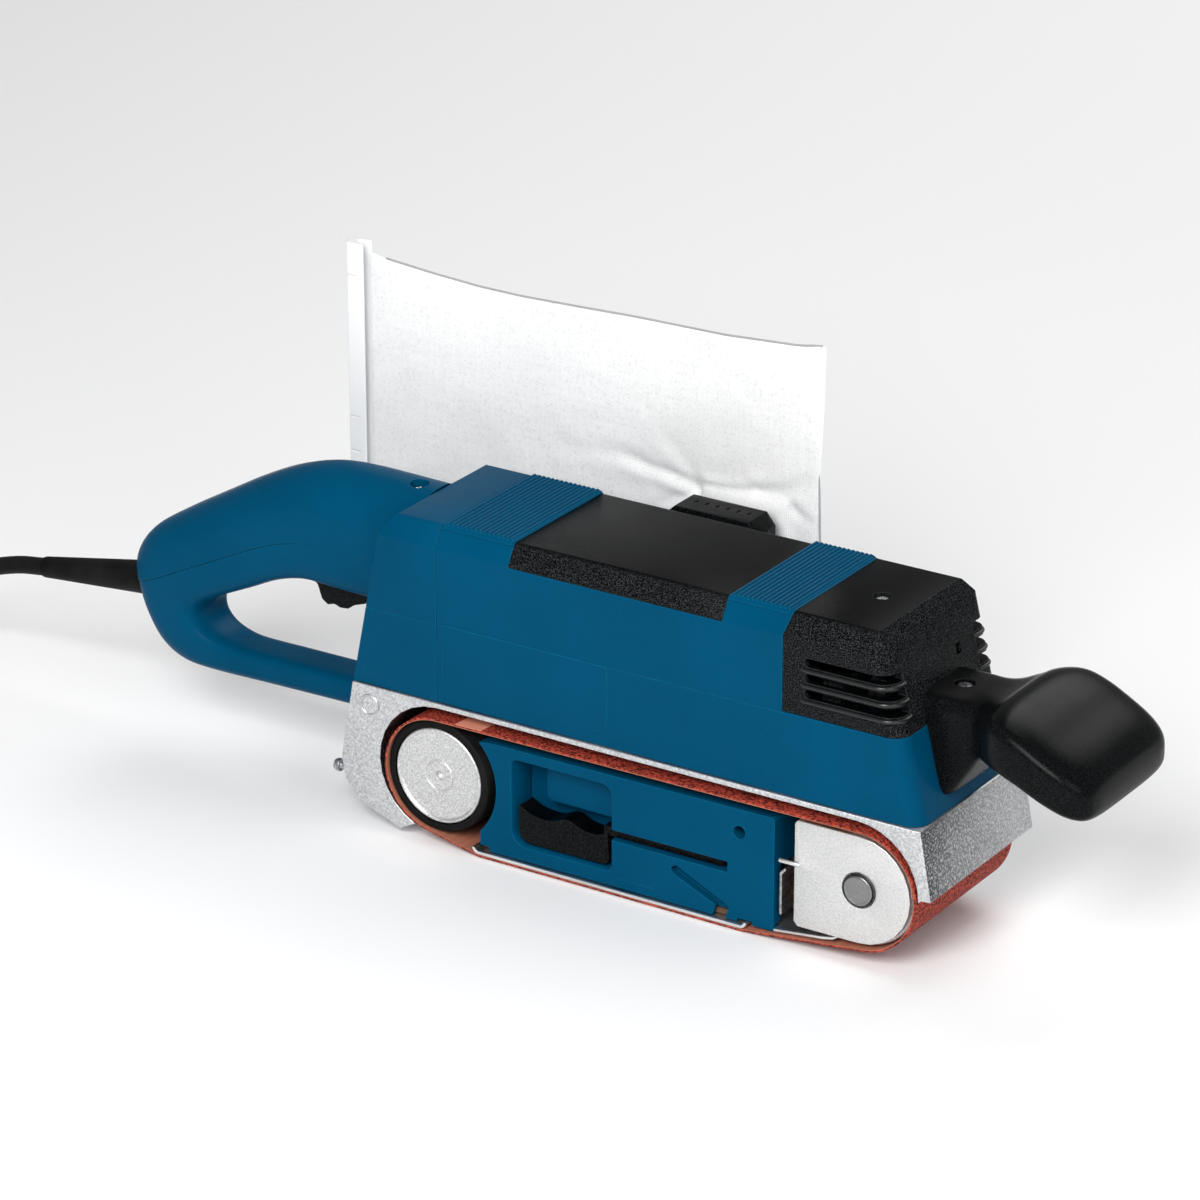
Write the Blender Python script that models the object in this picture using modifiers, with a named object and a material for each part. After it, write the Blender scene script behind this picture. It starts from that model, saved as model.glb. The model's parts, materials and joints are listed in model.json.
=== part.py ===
"""Handheld belt sander, 75 x 533 mm belt, built as separate pieces.

Frame: +X is the tool's front, +Y its left side (drive belt side), +Z up.  The origin is the
centre of the flat sanding face, midway between the two roller axles.  Sizes below are in
millimetres; every mesh is made in metres.
"""

from math import atan2, cos, hypot, pi, radians, sin, tan

import bmesh
import bpy
from mathutils import Matrix, Vector

for old in list(bpy.data.objects):
    bpy.data.objects.remove(old, do_unlink=True)

MM = 0.001
GAP = 0.3  # between touching pieces

# ---- driving dimensions (mm) ---------------------------------------------------------------------
BELT_WIDTH = 75.0
BELT_THICK = 1.0
ROLLER_R = 23.5
REAR = (-95.5, 29.6)  # rear drive roller's axle, X and Z
FRONT = (95.5, 30.5)  # front roller's axle, X and Z
SOLE_X = (-76.0, 44.0)
SOLE_Z = 1.3  # underside of the sole plate, above the inside of the belt
HALF_BODY = 36.0  # half width of the housing
HALF_TOP = 31.0  # half width of its flat top
Z_DECK = 61.0  # joint between casting and housing
Z_DECK_LOW = 58.9
Z_RIDGE = 126.0
Z_TOP = 134.3
Z_CAP = 95.0  # lower edge of the black front cap
WALL = 2.5
SEAM_X = -95.6  # joint between gear housing and main housing
CAP_X = 60.3  # rear edge of the front cap
COVER_X = (-62.0, 33.6)
MOTOR_Z = 96.0
APEX_X = -106.0  # where the motor axis meets the cross shaft
PINION_TEETH = 9
GEAR_TEETH = 27
SMALL_PULLEY_R = 6.0
LARGE_PULLEY_R = 16.0
PULLEY_Y = (43.6, 49.6)
WALL_Y = (38.8, 42.0)  # far wall of the casting
LEVER_PIVOT = (32.0, -30.0)  # X and Y of the belt release lever's pin
BAG_Y = 62.0
CORD_R = 3.75
COIL_CENTRE = (-458.0, -30.0)
COIL_MID_R = 44.0
COIL_TURNS = (4, 2)  # turns beside each other, and on each other
PLUG_X = -424.0


def front_face(z):
    """X of the sloping front face at a height."""
    return 120.5 - 0.25 * (z - Z_DECK)


def rear_face(z):
    """X of the sloping rear face of the gear housing at a height."""
    return -135.8 + 0.2 * (z - Z_DECK)


# ---- materials -----------------------------------------------------------------------------------
LOOKS = {
    "blue_plastic": ((0.006, 0.10, 0.20), 0.38, 0.0),
    "black_plastic": ((0.012, 0.012, 0.013), 0.5, 0.0),
    "cast_aluminium": ((0.60, 0.61, 0.62), 0.45, 1.0),
    "steel": ((0.62, 0.62, 0.63), 0.3, 1.0),
    "brass": ((0.72, 0.52, 0.22), 0.35, 1.0),
    "copper": ((0.75, 0.33, 0.18), 0.35, 1.0),
    "black_rubber": ((0.015, 0.015, 0.015), 0.8, 0.0),
    "abrasive": ((0.24, 0.045, 0.025), 0.9, 0.0),
    "cork": ((0.36, 0.22, 0.12), 0.9, 0.0),
    "white_cloth": ((0.78, 0.78, 0.76), 0.95, 0.0),
    "white_plastic": ((0.80, 0.80, 0.80), 0.4, 0.0),
}

parts = bpy.data.collections.new("belt_sander")
cutters = bpy.data.collections.new("cutters")
for group in (parts, cutters):
    bpy.context.scene.collection.children.link(group)


def material(look):
    found = bpy.data.materials.get(look)
    if found:
        return found
    colour, roughness, metallic = LOOKS[look]
    made = bpy.data.materials.new(look)
    made.use_nodes = True
    shader = made.node_tree.nodes["Principled BSDF"]
    shader.inputs["Base Color"].default_value = (*colour, 1.0)
    shader.inputs["Roughness"].default_value = roughness
    shader.inputs["Metallic"].default_value = metallic
    made.diffuse_color = (*colour, 1.0)
    return made


# ---- shape helpers -------------------------------------------------------------------------------
# Turns a flat outline's (u, v) and height w into world X, Y, Z for each extrusion axis.
TURN = {
    "X": Matrix(((0, 0, 1, 0), (1, 0, 0, 0), (0, 1, 0, 0), (0, 0, 0, 1))),
    "Y": Matrix(((1, 0, 0, 0), (0, 0, -1, 0), (0, 1, 0, 0), (0, 0, 0, 1))),
    "Z": Matrix.Identity(4),
}


def keep(obj, name, look):
    """Names an object, gives it its material and puts it among the parts."""
    obj.name = name
    obj.data.name = name
    obj.data.materials.clear()
    obj.data.materials.append(material(look))
    for group in list(obj.users_collection):
        group.objects.unlink(obj)
    parts.objects.link(obj)
    obj.data.shade_smooth()
    obj.data.set_sharp_from_angle(angle=radians(35))
    return obj


def hide(obj):
    """Makes an object a cutter, which the model leaves out."""
    for group in list(obj.users_collection):
        group.objects.unlink(obj)
    cutters.objects.link(obj)
    obj.display_type = "WIRE"
    obj.hide_render = True
    return obj


def from_mesh(mesh):
    obj = bpy.data.objects.new("piece", mesh)
    bpy.context.scene.collection.objects.link(obj)
    return obj


def solid(build):
    """A new object from a bmesh, welded, with its faces pointing out."""
    bmesh.ops.remove_doubles(build, verts=build.verts, dist=1e-6)
    bmesh.ops.recalc_face_normals(build, faces=build.faces)
    mesh = bpy.data.meshes.new("piece")
    build.to_mesh(mesh)
    build.free()
    return from_mesh(mesh)


def baked(obj):
    """Replaces an object, such as a curve, by the mesh that it evaluates to."""
    bpy.context.view_layer.update()
    view = obj.evaluated_get(bpy.context.evaluated_depsgraph_get())
    mesh = bpy.data.meshes.new_from_object(view)
    mesh.transform(obj.matrix_world)
    bpy.data.objects.remove(obj, do_unlink=True)
    build = bmesh.new()
    build.from_mesh(mesh)
    bpy.data.meshes.remove(mesh)
    return solid(build)


def modified(obj, operation, others):
    for other in others:
        change = obj.modifiers.new(operation.lower(), "BOOLEAN")
        change.operation = operation
        change.solver = "EXACT"
        change.object = hide(other)
    return obj


def cut(obj, *others):
    return modified(obj, "DIFFERENCE", others)


def join(obj, *others):
    return modified(obj, "UNION", others)


def common(obj, *others):
    return modified(obj, "INTERSECT", others)


def block(x, y, z, bevel=0.0):
    """A box from its ranges along X, Y and Z, with rounded edges if asked."""
    bpy.ops.mesh.primitive_cube_add(size=1.0)
    obj = bpy.context.object
    size = [(b - a) * MM for a, b in (x, y, z)]
    middle = [(a + b) / 2 * MM for a, b in (x, y, z)]
    place = Matrix.Translation(middle) @ Matrix.Diagonal((*size, 1.0))
    obj.data.transform(place)
    if bevel:
        edge = obj.modifiers.new("edges", "BEVEL")
        edge.width = bevel * MM
        edge.segments = 2
    return obj


def rod(axis, centre, radius, length, sides=24, small=None):
    """A cylinder or cone about an axis; centre is its middle."""
    build = bmesh.new()
    bmesh.ops.create_cone(
        build,
        cap_ends=True,
        segments=sides,
        radius1=radius * MM,
        radius2=(radius if small is None else small) * MM,
        depth=length * MM,
    )
    turn = TURN[axis] if axis != "Y" else Matrix.Rotation(-pi / 2, 4, "X")
    bmesh.ops.transform(build, matrix=turn, verts=build.verts)
    bmesh.ops.translate(build, vec=Vector(centre) * MM, verts=build.verts)
    return solid(build)


def turned(axis, centre, profile, sides=32):
    """A profile of (radius, height) points, outer side first and downwards, turned round.

    Heights run along the axis from centre.
    """
    build = bmesh.new()
    points = [build.verts.new((r * MM, 0.0, h * MM)) for r, h in profile]
    for a, b in zip(points, points[1:]):
        build.edges.new((a, b))
    if profile[0][0] > 0:
        build.edges.new((points[-1], points[0]))
    mesh = bpy.data.meshes.new("profile")
    build.to_mesh(mesh)
    build.free()
    obj = from_mesh(mesh)
    spin = obj.modifiers.new("turn", "SCREW")
    spin.steps = sides
    spin.render_steps = sides
    spin.use_merge_vertices = True
    spin.merge_threshold = 0.00001
    turn = TURN["X"] if axis == "X" else Matrix.Rotation(-pi / 2, 4, "X")
    obj.matrix_world = Matrix.Translation(Vector(centre) * MM) @ (
        Matrix.Identity(4) if axis == "Z" else turn
    )
    return baked(obj)


def ring(axis, centre, inner, outer, width, sides=24):
    """A plain ring, such as a bearing."""
    h = width / 2
    return turned(axis, centre, [(outer, h), (outer, -h), (inner, -h), (inner, h)], sides)


def prism(axis, outline, span, holes=()):
    """A flat outline, with any holes, extruded over a span along an axis.

    Points are (X, Z) along Y, (Y, Z) along X and (X, Y) along Z.
    """
    curve = bpy.data.curves.new("outline", "CURVE")
    curve.dimensions = "2D"
    curve.fill_mode = "BOTH"
    curve.extrude = abs(span[1] - span[0]) / 2 * MM
    for loop in (outline, *holes):
        line = curve.splines.new("POLY")
        line.points.add(len(loop) - 1)
        for point, (u, v) in zip(line.points, loop):
            point.co = (u * MM, v * MM, 0.0, 1.0)
        line.use_cyclic_u = True
    obj = bpy.data.objects.new("outline", curve)
    bpy.context.scene.collection.objects.link(obj)
    middle = (span[0] + span[1]) / 2 * MM
    along = {"X": (middle, 0, 0), "Y": (0, middle, 0), "Z": (0, 0, middle)}[axis]
    obj.matrix_world = Matrix.Translation(along) @ TURN[axis]
    return baked(obj)


def arc(centre, radius, start, end, steps):
    """Points on an arc, angles in degrees."""
    angles = [radians(start + (end - start) * i / steps) for i in range(steps + 1)]
    return [(centre[0] + radius * cos(a), centre[1] + radius * sin(a)) for a in angles]


def rounded(corners, steps=3):
    """An outline of (u, v, radius) corners, with each corner turned into an arc."""
    points = []
    for i, (u, v, radius) in enumerate(corners):
        here = Vector((u, v))
        back = (Vector(corners[i - 1][:2]) - here).normalized()
        on = (Vector(corners[(i + 1) % len(corners)][:2]) - here).normalized()
        half = back.angle(on) / 2
        if radius < 0.05 or abs(half - pi / 2) < 0.03:
            points.append((u, v))
            continue
        middle = here + (back + on).normalized() * radius / sin(half)
        start = here + back * radius / tan(half) - middle
        turn = start.angle_signed(here + on * radius / tan(half) - middle)
        a = atan2(start.y, start.x)
        for k in range(steps + 1):
            b = a - turn * k / steps
            points.append((middle.x + radius * cos(b), middle.y + radius * sin(b)))
    return points


def hull(points):
    """The convex outline round flat points, anticlockwise."""
    points = sorted(set((round(u, 6), round(v, 6)) for u, v in points))

    def half(line):
        found = []
        for p in line:
            while len(found) > 1 and (
                (found[-1][0] - found[-2][0]) * (p[1] - found[-2][1])
                - (found[-1][1] - found[-2][1]) * (p[0] - found[-2][0])
            ) <= 1e-9:
                found.pop()
            found.append(p)
        return found[:-1]

    return half(points) + half(points[::-1])


def loft(rings, capped=True):
    """A closed skin over rings of points in mm, each ring with the same number of points."""
    build = bmesh.new()
    rows = [[build.verts.new(Vector(p) * MM) for p in points] for points in rings]
    count = len(rows[0])
    pairs = list(zip(rows, rows[1:]))
    if not capped:
        pairs.append((rows[-1], rows[0]))
    for low, high in pairs:
        for i in range(count):
            j = (i + 1) % count
            build.faces.new((low[i], low[j], high[j], high[i]))
    if capped:
        build.faces.new(rows[0][::-1])
        build.faces.new(rows[-1])
    return solid(build)


def oval(count, power):
    """Unit points of a superellipse, round at power 2 and boxier above."""
    points = []
    for i in range(count):
        a = 2 * pi * (i + 0.5) / count
        c, s = cos(a), sin(a)
        points.append((abs(c) ** (2 / power) * (1 if c > 0 else -1),
                       abs(s) ** (2 / power) * (1 if s > 0 else -1)))
    return points


def tube(points, radius, sides=2):
    """A round bar along points in mm."""
    curve = bpy.data.curves.new("path", "CURVE")
    curve.dimensions = "3D"
    curve.bevel_depth = radius * MM
    curve.bevel_resolution = sides
    curve.use_fill_caps = True
    line = curve.splines.new("POLY")
    line.points.add(len(points) - 1)
    for point, place in zip(line.points, points):
        point.co = (*[v * MM for v in place], 1.0)
    obj = bpy.data.objects.new("path", curve)
    bpy.context.scene.collection.objects.link(obj)
    return baked(obj)


def smooth_route(knots, step):
    """Points a step apart on a smooth curve through the knots."""
    knots = [Vector(k) for k in knots]
    ends = [2 * knots[0] - knots[1], *knots, 2 * knots[-1] - knots[-2]]
    fine = []
    for a, b, c, d in zip(ends, ends[1:], ends[2:], ends[3:]):
        for k in range(20):
            t = k / 20
            fine.append(
                0.5 * (2 * b + (c - a) * t + (2 * a - 5 * b + 4 * c - d) * t**2
                       + (3 * b - a - 3 * c + d) * t**3)
            )
    fine.append(knots[-1])
    whole = sum((b - a).length for a, b in zip(fine, fine[1:]))
    count = max(2, round(whole / step))
    route, run, want = [fine[0]], 0.0, whole / count
    for a, b in zip(fine, fine[1:]):
        run += (b - a).length
        if run >= want * len(route) - 1e-6 and len(route) < count:
            route.append(b)
    return route + [knots[-1]]


def pivot(obj, place):
    """Moves an object's origin to a place in mm, leaving its shape where it is."""
    spot = Vector(place) * MM
    obj.data.transform(Matrix.Translation(-spot))
    obj.location = spot
    return obj


# ---- frame casting -------------------------------------------------------------------------------
def casting():
    """Aluminium frame: deck with rear guard and nose, far wall, and the arm inside the belt."""
    guard = arc((REAR[0], 31.4), 27.5, 246, 90, 12)
    nose = arc((94.0, 31.9), 27.0, 90, 0, 8)
    hood = guard + nose + [
        (122.0, 33.0), (126.4, 33.4), (121.2, Z_DECK), (-135.6, Z_DECK),
        (-141.6, 27.0), (-139.8, 18.0), (-132.6, 9.6), (-114.0, 2.6),
    ]
    obj = prism("Y", hood, (-37.0, WALL_Y[1]))
    wall = rounded([(-122, 8, 8), (104, 8, 12), (112, Z_DECK_LOW + 1, 3), (-130, Z_DECK_LOW + 1, 3)])
    arm = block((-62, 57.0), (-18.6, WALL_Y[0] + 1), (5.2, 49.5))
    boss = rod("Y", (REAR[0], 16.0, REAR[1]), 15.0, 47.0, 32)
    join(obj, prism("Y", wall, WALL_Y), arm, boss)
    pocket = block((-59, 17.0), (-15.6, WALL_Y[0] - 2.0), (9.0, 60.0 - 7.0))
    guide = rod("X", (37.0, 0, 30.5), 4.6, 44.0, 20)
    spring_room = rod("X", (54.0, 0, 30.5), 8.4, 30.0, 24)
    bore = rod("Y", (REAR[0], 16.0, REAR[1]), 11.0, 60.0, 32)
    deck_hole = block((-88, 84), (-24, 24), (Z_DECK_LOW - 4, Z_DECK + 4))
    cut(obj, pocket, guide, spring_room, bore, deck_hole)
    keep(obj, "frame_casting", "cast_aluminium")


# ---- sole and sanding belt -----------------------------------------------------------------------
def belt_loop(out):
    """The belt's path, out mm outside the rollers and the sole."""
    points = []
    for centre in (REAR, FRONT):
        points += arc(centre, ROLLER_R + GAP + out, 0, 360, 40)[:-1]
    for x in SOLE_X:
        points += arc((x, SOLE_Z + 3.0), 3.0 + GAP + out, 0, 360, 24)[:-1]
    return hull(points)


def sole():
    tail, toe = ((x, SOLE_Z + 3) for x in SOLE_X)
    under = arc(tail, 3.0, 190, 270, 4) + arc(toe, 3.0, 270, 350, 4)
    over = arc(toe, 1.8, 350, 270, 4) + arc(tail, 1.8, 270, 190, 4)
    keep(prism("Y", under + over, (-37.8, 36.5)), "sole_plate", "steel")
    pad = block((SOLE_X[0], SOLE_X[1]), (-33.2, 36.0), (SOLE_Z + 1.2 + GAP, 4.9))
    keep(pad, "sole_pad", "cork")
    belt = prism("Y", belt_loop(BELT_THICK), (-BELT_WIDTH / 2, BELT_WIDTH / 2), [belt_loop(0.0)])
    keep(belt, "sanding_belt", "abrasive")
    path = [
        (58.4, 3.3), (79.6, 5.7), (84.4, 6.8), (86.6, 8.2),
        (85.0, 8.2), (83.9, 7.7), (79.2, 6.8), (58.4, 4.5),
    ]
    strip = prism("Y", path, (-36.6, -16.0))
    cut(strip, block((76.0, 90.0), (-34.4, -10.0), (2.0, 12.0)))
    join(strip, block((49.0, 60.0), (-30.4, -16.4), (3.5, 4.4)))
    keep(strip, "belt_guide_strip", "steel")


# ---- rollers -------------------------------------------------------------------------------------
def rollers():
    rear = (REAR[0], 0, REAR[1])
    cup = [(0.0, -31.0), (16.6, -31.0), (16.6, 36.6), (20.0, 36.6), (20.0, -35.4), (19.0, -36.4),
           (17.6, -36.4), (17.2, -35.8), (0.0, -35.8)]
    body = turned("Y", rear, cup, 30)
    keep(pivot(body, rear), "drive_roller", "cast_aluminium")
    sleeve = turned("Y", rear, [(ROLLER_R, 36.6), (ROLLER_R, -36.1), (22.9, -36.7),
                                (20.3, -36.7), (20.3, 36.6)], 36)
    keep(pivot(sleeve, rear), "roller_sleeve", "black_rubber")
    shaft = rod("Y", (REAR[0], 9.6, REAR[1]), 5.0, 80.6, 18)
    keep(pivot(shaft, rear), "roller_shaft", "steel")
    for name, y in (("roller_bearing_inner", -3.8), ("roller_bearing_outer", 34.0)):
        keep(ring("Y", (REAR[0], y, REAR[1]), 5.3, 10.7, 7.0, 20), name, "steel")

    front = (FRONT[0], 0, FRONT[1])
    tyre = turned("Y", front, [(ROLLER_R, 34.0), (ROLLER_R, -34.0), (13.6, -34.0), (13.6, -26.5),
                               (10.0, -26.5), (10.0, 26.5), (13.6, 26.5), (13.6, 34.0)], 32)
    keep(pivot(tyre, front), "idler_roller", "cast_aluminium")
    for name, y in (("idler_bearing_near", -30.3), ("idler_bearing_far", 30.3)):
        keep(pivot(ring("Y", (FRONT[0], y, FRONT[1]), 6.5, 13.3, 7.0, 20), front), name, "steel")
    axle = [(5.6, 37.2), (6.2, 36.6), (6.2, -37.4), (5.6, -38.0), (0.0, -38.0)]
    keep(pivot(turned("Y", front, [(0.0, 37.2)] + axle, 24), front), "idler_axle", "steel")


def fork():
    """Sliding fork that carries the front roller, with its push rod."""
    plate = arc(FRONT, 22.0, -90, 90, 12) + [(68.5, 52.5), (67.4, 51.0), (67.4, 10.5), (69.0, 8.5)]
    hole = arc(FRONT, 6.5, 0, 360, 24)[:-1]
    obj = prism("Y", plate, (-36.8, -34.6), [hole])
    far = prism("Y", plate, (34.6, 36.6), [hole])
    bar = block((67.4, 70.6), (-35.6, 35.6), (18.0, 44.0))
    push = rod("X", (51.0, 0, 30.5), 4.2, 36.0, 16)
    pin = rod("X", (65.6, -37.2, 34.4), 0.9, 9.0, 10)
    join(obj, bar, far, push, pin)
    keep(pivot(obj, (FRONT[0], 0, FRONT[1])), "roller_fork", "steel")
    turns, per = 5, 8
    coil = []
    for k in range(turns * per + 1):
        a = 2 * pi * k / per
        coil.append((44.5 + 21.5 * k / (turns * per), 6.6 * cos(a), 30.5 + 6.6 * sin(a)))
    keep(tube(coil, 0.9, 1), "tension_spring", "steel")


# ---- side plate and belt release lever -----------------------------------------------------------
def side_plate():
    hollow = arc(REAR, 27.0, -44, 45, 10)
    foot = [
        (58.0, 2.9), (48.8, 2.9), (48.4, 4.4), (42.0, 4.4),
        (41.6, 2.9), (-71.6, 2.9), (-72.0, 4.8), (-76.1, 4.8),
    ]
    outline = hollow + [(-72.0, 49.5), (57.0, 50.2), (58.0, 49.2)] + foot
    obj = prism("Y", outline, (-36.0, -19.0))
    notch = block((-90, 70), (-33.5, -10), (0, 5.3))
    window = rounded([(-61.0, 9.2, 6), (-15.2, 9.2, 3), (-15.2, 45.0, 5), (-61.0, 45.0, 2)])
    recess = prism("Y", window, (-40, -21.5))
    slot = block((-20, 37.4), (-40, -26.0), (22.4, 26.9))
    pin_bore = rod("Z", (*LEVER_PIVOT, 24.6), 1.9, 20.0, 16)
    gutter = [
        (11.6, 17.4), (13.5, 18.8), (16.2, 18.5), (38.0, 8.0),
        (35.0, 0.0), (30.0, 0.0), (32.6, 7.2), (12.6, 14.2),
    ]
    channel = prism("Y", gutter, (-40, -32.6))
    screw_hole = rod("Y", (42.6, -34.0, 40.6), 2.6, 16.0, 16)
    front_notch = block((44.0, 70.0), (-31.0, -10.0), (0.0, 29.0))
    cut(obj, notch, recess, slot, pin_bore, channel, screw_hole, front_notch)
    step = block((-50.0, -14.0), (-28.0, -20.0), (27.6, 46.0), 1.2)
    join(obj, step)
    keep(obj, "side_plate", "blue_plastic")
    leaf = [(59.4, 10.0), (60.6, 10.0), (60.6, 27.0), (62.4, 29.0), (61.6, 29.8), (59.4, 27.6)]
    keep(prism("Y", leaf, (-34.5, -21.0)), "lever_leaf_spring", "steel")


def lever():
    """Belt release lever; its pin is vertical, at the front end of the slot."""
    px, py = LEVER_PIVOT
    top = [(-58.6, 25.6), (-52.0, 23.0), (-45.0, 22.2), (-40.0, 23.4), (-36.0, 24.2), (-31.0, 22.8),
           (-25.0, 22.0), (-18.0, 24.4)]
    grip = prism("Y", [(-58.6, 12.6), (-56.4, 10.2), (-18.0, 10.2)] + top[::-1], (-34.6, -25.0))
    plan = arc((px, py), 3.4, -90, 90, 6) + [(-20.0, py + 3.4), (-20.0, py - 3.4)]
    obj = join(grip, prism("Z", plan, (22.8, 26.5)))
    cut(obj, rod("Z", (px, py, 24.6), 1.8, 20.0, 16))
    keep(pivot(obj, (px, py, 24.6)), "belt_release_lever", "black_plastic")
    keep(rod("Z", (px, py, 24.6), 1.5, 19.0, 12), "lever_pin", "steel")


# ---- housings ------------------------------------------------------------------------------------
def body_section(inset=0.0, low=Z_DECK):
    """Cross-section of the housing across X, inset by a wall thickness."""
    side, top = HALF_BODY - inset, HALF_TOP - inset * 0.8
    return [(-side, low), (side, low), (side, Z_RIDGE - inset * 0.3), (top, Z_TOP - inset),
            (-top, Z_TOP - inset), (-side, Z_RIDGE - inset * 0.3)]


def rounded_plan(x0, x1, inset=0.0):
    """Plan outline with rounded front corners, for trimming the front of a housing."""
    side = HALF_BODY - inset
    return rounded([(x0, -side, 0), (x1 - inset, -side, 7), (x1 - inset, side, 3.5), (x0, side, 0)], 4)


def front_trim(inset=0.0):
    """Solid behind the sloping, round-cornered front face."""
    rings = []
    for z in (30.0, 160.0):
        plan = rounded_plan(-200.0, front_face(z), inset)
        rings.append([(x, y, z) for x, y in plan])
    return loft(rings)


def ribs(x0, count, pitch):
    """Comb of cross ribs on the top, as one outline."""
    outline = [(x0, Z_TOP - 1.6)]
    for k in range(count):
        a = x0 + k * pitch
        outline += [(a, Z_TOP), (a + 0.35 * pitch, Z_TOP + 1.0), (a + 0.7 * pitch, Z_TOP + 1.0)]
    outline += [(x0 + count * pitch, Z_TOP), (x0 + count * pitch, Z_TOP - 1.6)]
    return prism("Y", outline, (-HALF_TOP - 0.4, HALF_TOP + 0.4))


def main_housing():
    low = Z_DECK + GAP
    obj = prism("X", body_section(0.0, low), (SEAM_X, 130.0))
    common(obj, front_trim())
    inner = prism("X", body_section(WALL, low - 5), (SEAM_X - 5, 135.0))
    common(inner, front_trim(WALL))
    cap_room = prism("Y", [(CAP_X, Z_CAP), (160, Z_CAP), (160, 160), (62.2, 160), (62.2, Z_TOP),
                           (CAP_X, Z_RIDGE)], (-60, 60))
    cover_room = block((COVER_X[0] - GAP, COVER_X[1] + GAP), (-60, 60), (Z_RIDGE - 0.8, 160))
    port_hole = block((-30.0, 2.0), (20, 60), (100.0, 122.0))
    handle_hole = block((105, 130), (-6, 6), (80, 92))
    join(obj, ribs(-94.6, 15, 2.1), ribs(34.6, 13, 2.0))
    cut(obj, inner, cap_room, cover_room, port_hole, handle_hole)
    keep(obj, "main_housing", "blue_plastic")


def gear_housing():
    x1 = SEAM_X - GAP
    profile = [(x1, Z_DECK + GAP), (x1, Z_TOP), (rear_face(Z_TOP) + 4.0, Z_TOP),
               (rear_face(Z_RIDGE), Z_RIDGE), (rear_face(Z_DECK), Z_DECK + GAP)]
    obj = prism("Y", profile, (-50, 50))
    common(obj, prism("X", body_section(0.0, Z_DECK - 5), (-150, 0)))
    room = [(0, 40), (0, 131.6), (-119.8, 131.6), (-120.2, Z_RIDGE - 1), (-133.4, 40)]
    inner = prism("Y", room, (-60, 60))
    common(inner, prism("X", body_section(WALL, 30), (-160, 10)))
    shaft_hole = rod("Y", (APEX_X, 36.0, MOTOR_Z), 9.0, 20.0, 20)
    handle_hole = block((-150, -118), (-9, 9), (92, 112))
    wheel_slot = block((-120.0, -100.0), (30.0, 44.0), (118.4, 123.6))
    cut(obj, inner, shaft_hole, handle_hole, wheel_slot)
    keep(obj, "gear_housing", "blue_plastic")
    wheel = turned("Z", (-110.0, 29.0, 121.0), [(0.0, 2.0), (7.5, 2.0), (8.4, 1.2), (8.4, -1.2),
                                                 (7.5, -2.0), (0.0, -2.0)], 20)
    keep(pivot(wheel, (-110.0, 29.0, 121.0)), "speed_wheel", "black_plastic")


def top_cover():
    x0, x1 = COVER_X
    low = Z_RIDGE - 0.5
    out = [(-HALF_BODY, low), (-HALF_BODY, Z_RIDGE), (-HALF_TOP, Z_TOP), (HALF_TOP, Z_TOP),
           (HALF_BODY, Z_RIDGE), (HALF_BODY, low)]
    under = [(HALF_BODY - 3.0, low), (HALF_TOP - 2.0, Z_TOP - 2.4), (-HALF_TOP + 2.0, Z_TOP - 2.4),
             (-HALF_BODY + 3.0, low)]
    keep(prism("X", out + under, (x0, x1)), "top_cover", "black_plastic")


def front_cap():
    low = Z_CAP + GAP
    x0 = CAP_X + GAP
    obj = prism("X", body_section(0.0, low), (x0, 135.0))
    top_trim = prism("Y", [(x0, 0), (x0, Z_RIDGE), (62.5, Z_TOP), (62.5, 160), (97.8, 160), (97.8, Z_TOP),
                           (front_face(127.5), 127.5), (140, 90), (140, 0)], (-60, 60))
    common(obj, front_trim(), top_trim)
    inner = prism("X", body_section(WALL, low - 5), (x0 - 5, 140.0))
    inner_trim = prism("Y", [(x0 - 8, 0), (x0 - 8, 132), (96.6, 132), (front_face(127.5) - 2.5, 125.8),
                             (135, 90), (135, 0)], (-60, 60))
    common(inner, front_trim(WALL), inner_trim)
    cut(obj, inner)
    for z in (117.4, 111.2, 105.0):
        for y in ((-50, -26.5), (26.5, 50)):
            cut(obj, block((70.0, 130.0), y, (z - 1.9, z + 1.9)))
    latch_hole = block((100, 112), (12.0, 16.4), (111.5, 116.0))
    cut(obj, rod("Z", (82.3, -0.5, Z_TOP), 3.4, 3.0, 20), latch_hole)
    keep(obj, "front_cap", "black_plastic")
    screw = rod("Z", (82.3, -0.5, 131.2), 2.9, 2.6, 16)
    cut(obj, rod("Z", (82.3, -0.5, 131.0), 3.2, 10.0, 20))
    keep(screw, "cap_screw", "steel")


# ---- handles -------------------------------------------------------------------------------------
# Rear handle: outer edge, inner edge (both X, Z) and half width at stations along the loop.
GRIP = [
    ((-116, 135.0), (-116, 84.6), 18.0),
    ((-150, 135.6), (-148, 84.4), 18.0),
    ((-168, 134.4), (-163, 84.8), 18.0),
    ((-185, 129.8), (-176, 85.2), 18.0),
    ((-202, 122.2), (-190, 81.8), 18.0),
    ((-222, 110.9), (-205, 74.8), 18.0),
    ((-242, 99.2), (-219, 68.4), 18.0),
    ((-257, 89.0), (-227.5, 63.8), 17.5),
    ((-264.5, 77.4), (-231.0, 59.8), 16.5),
    ((-264.0, 63.8), (-231.6, 56.0), 15.5),
    ((-259.5, 50.4), (-229.6, 52.0), 14.5),
    ((-253.5, 40.0), (-223.6, 48.8), 13.0),
    ((-244, 33.6), (-214, 47.0), 11.5),
    ((-229, 32.0), (-204, 46.8), 11.0),
    ((-200, 32.4), (-190, 47.0), 11.0),
    ((-160, 33.0), (-160, 47.2), 11.0),
    ((-126, 33.2), (-126, 47.6), 11.0),
]


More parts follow.
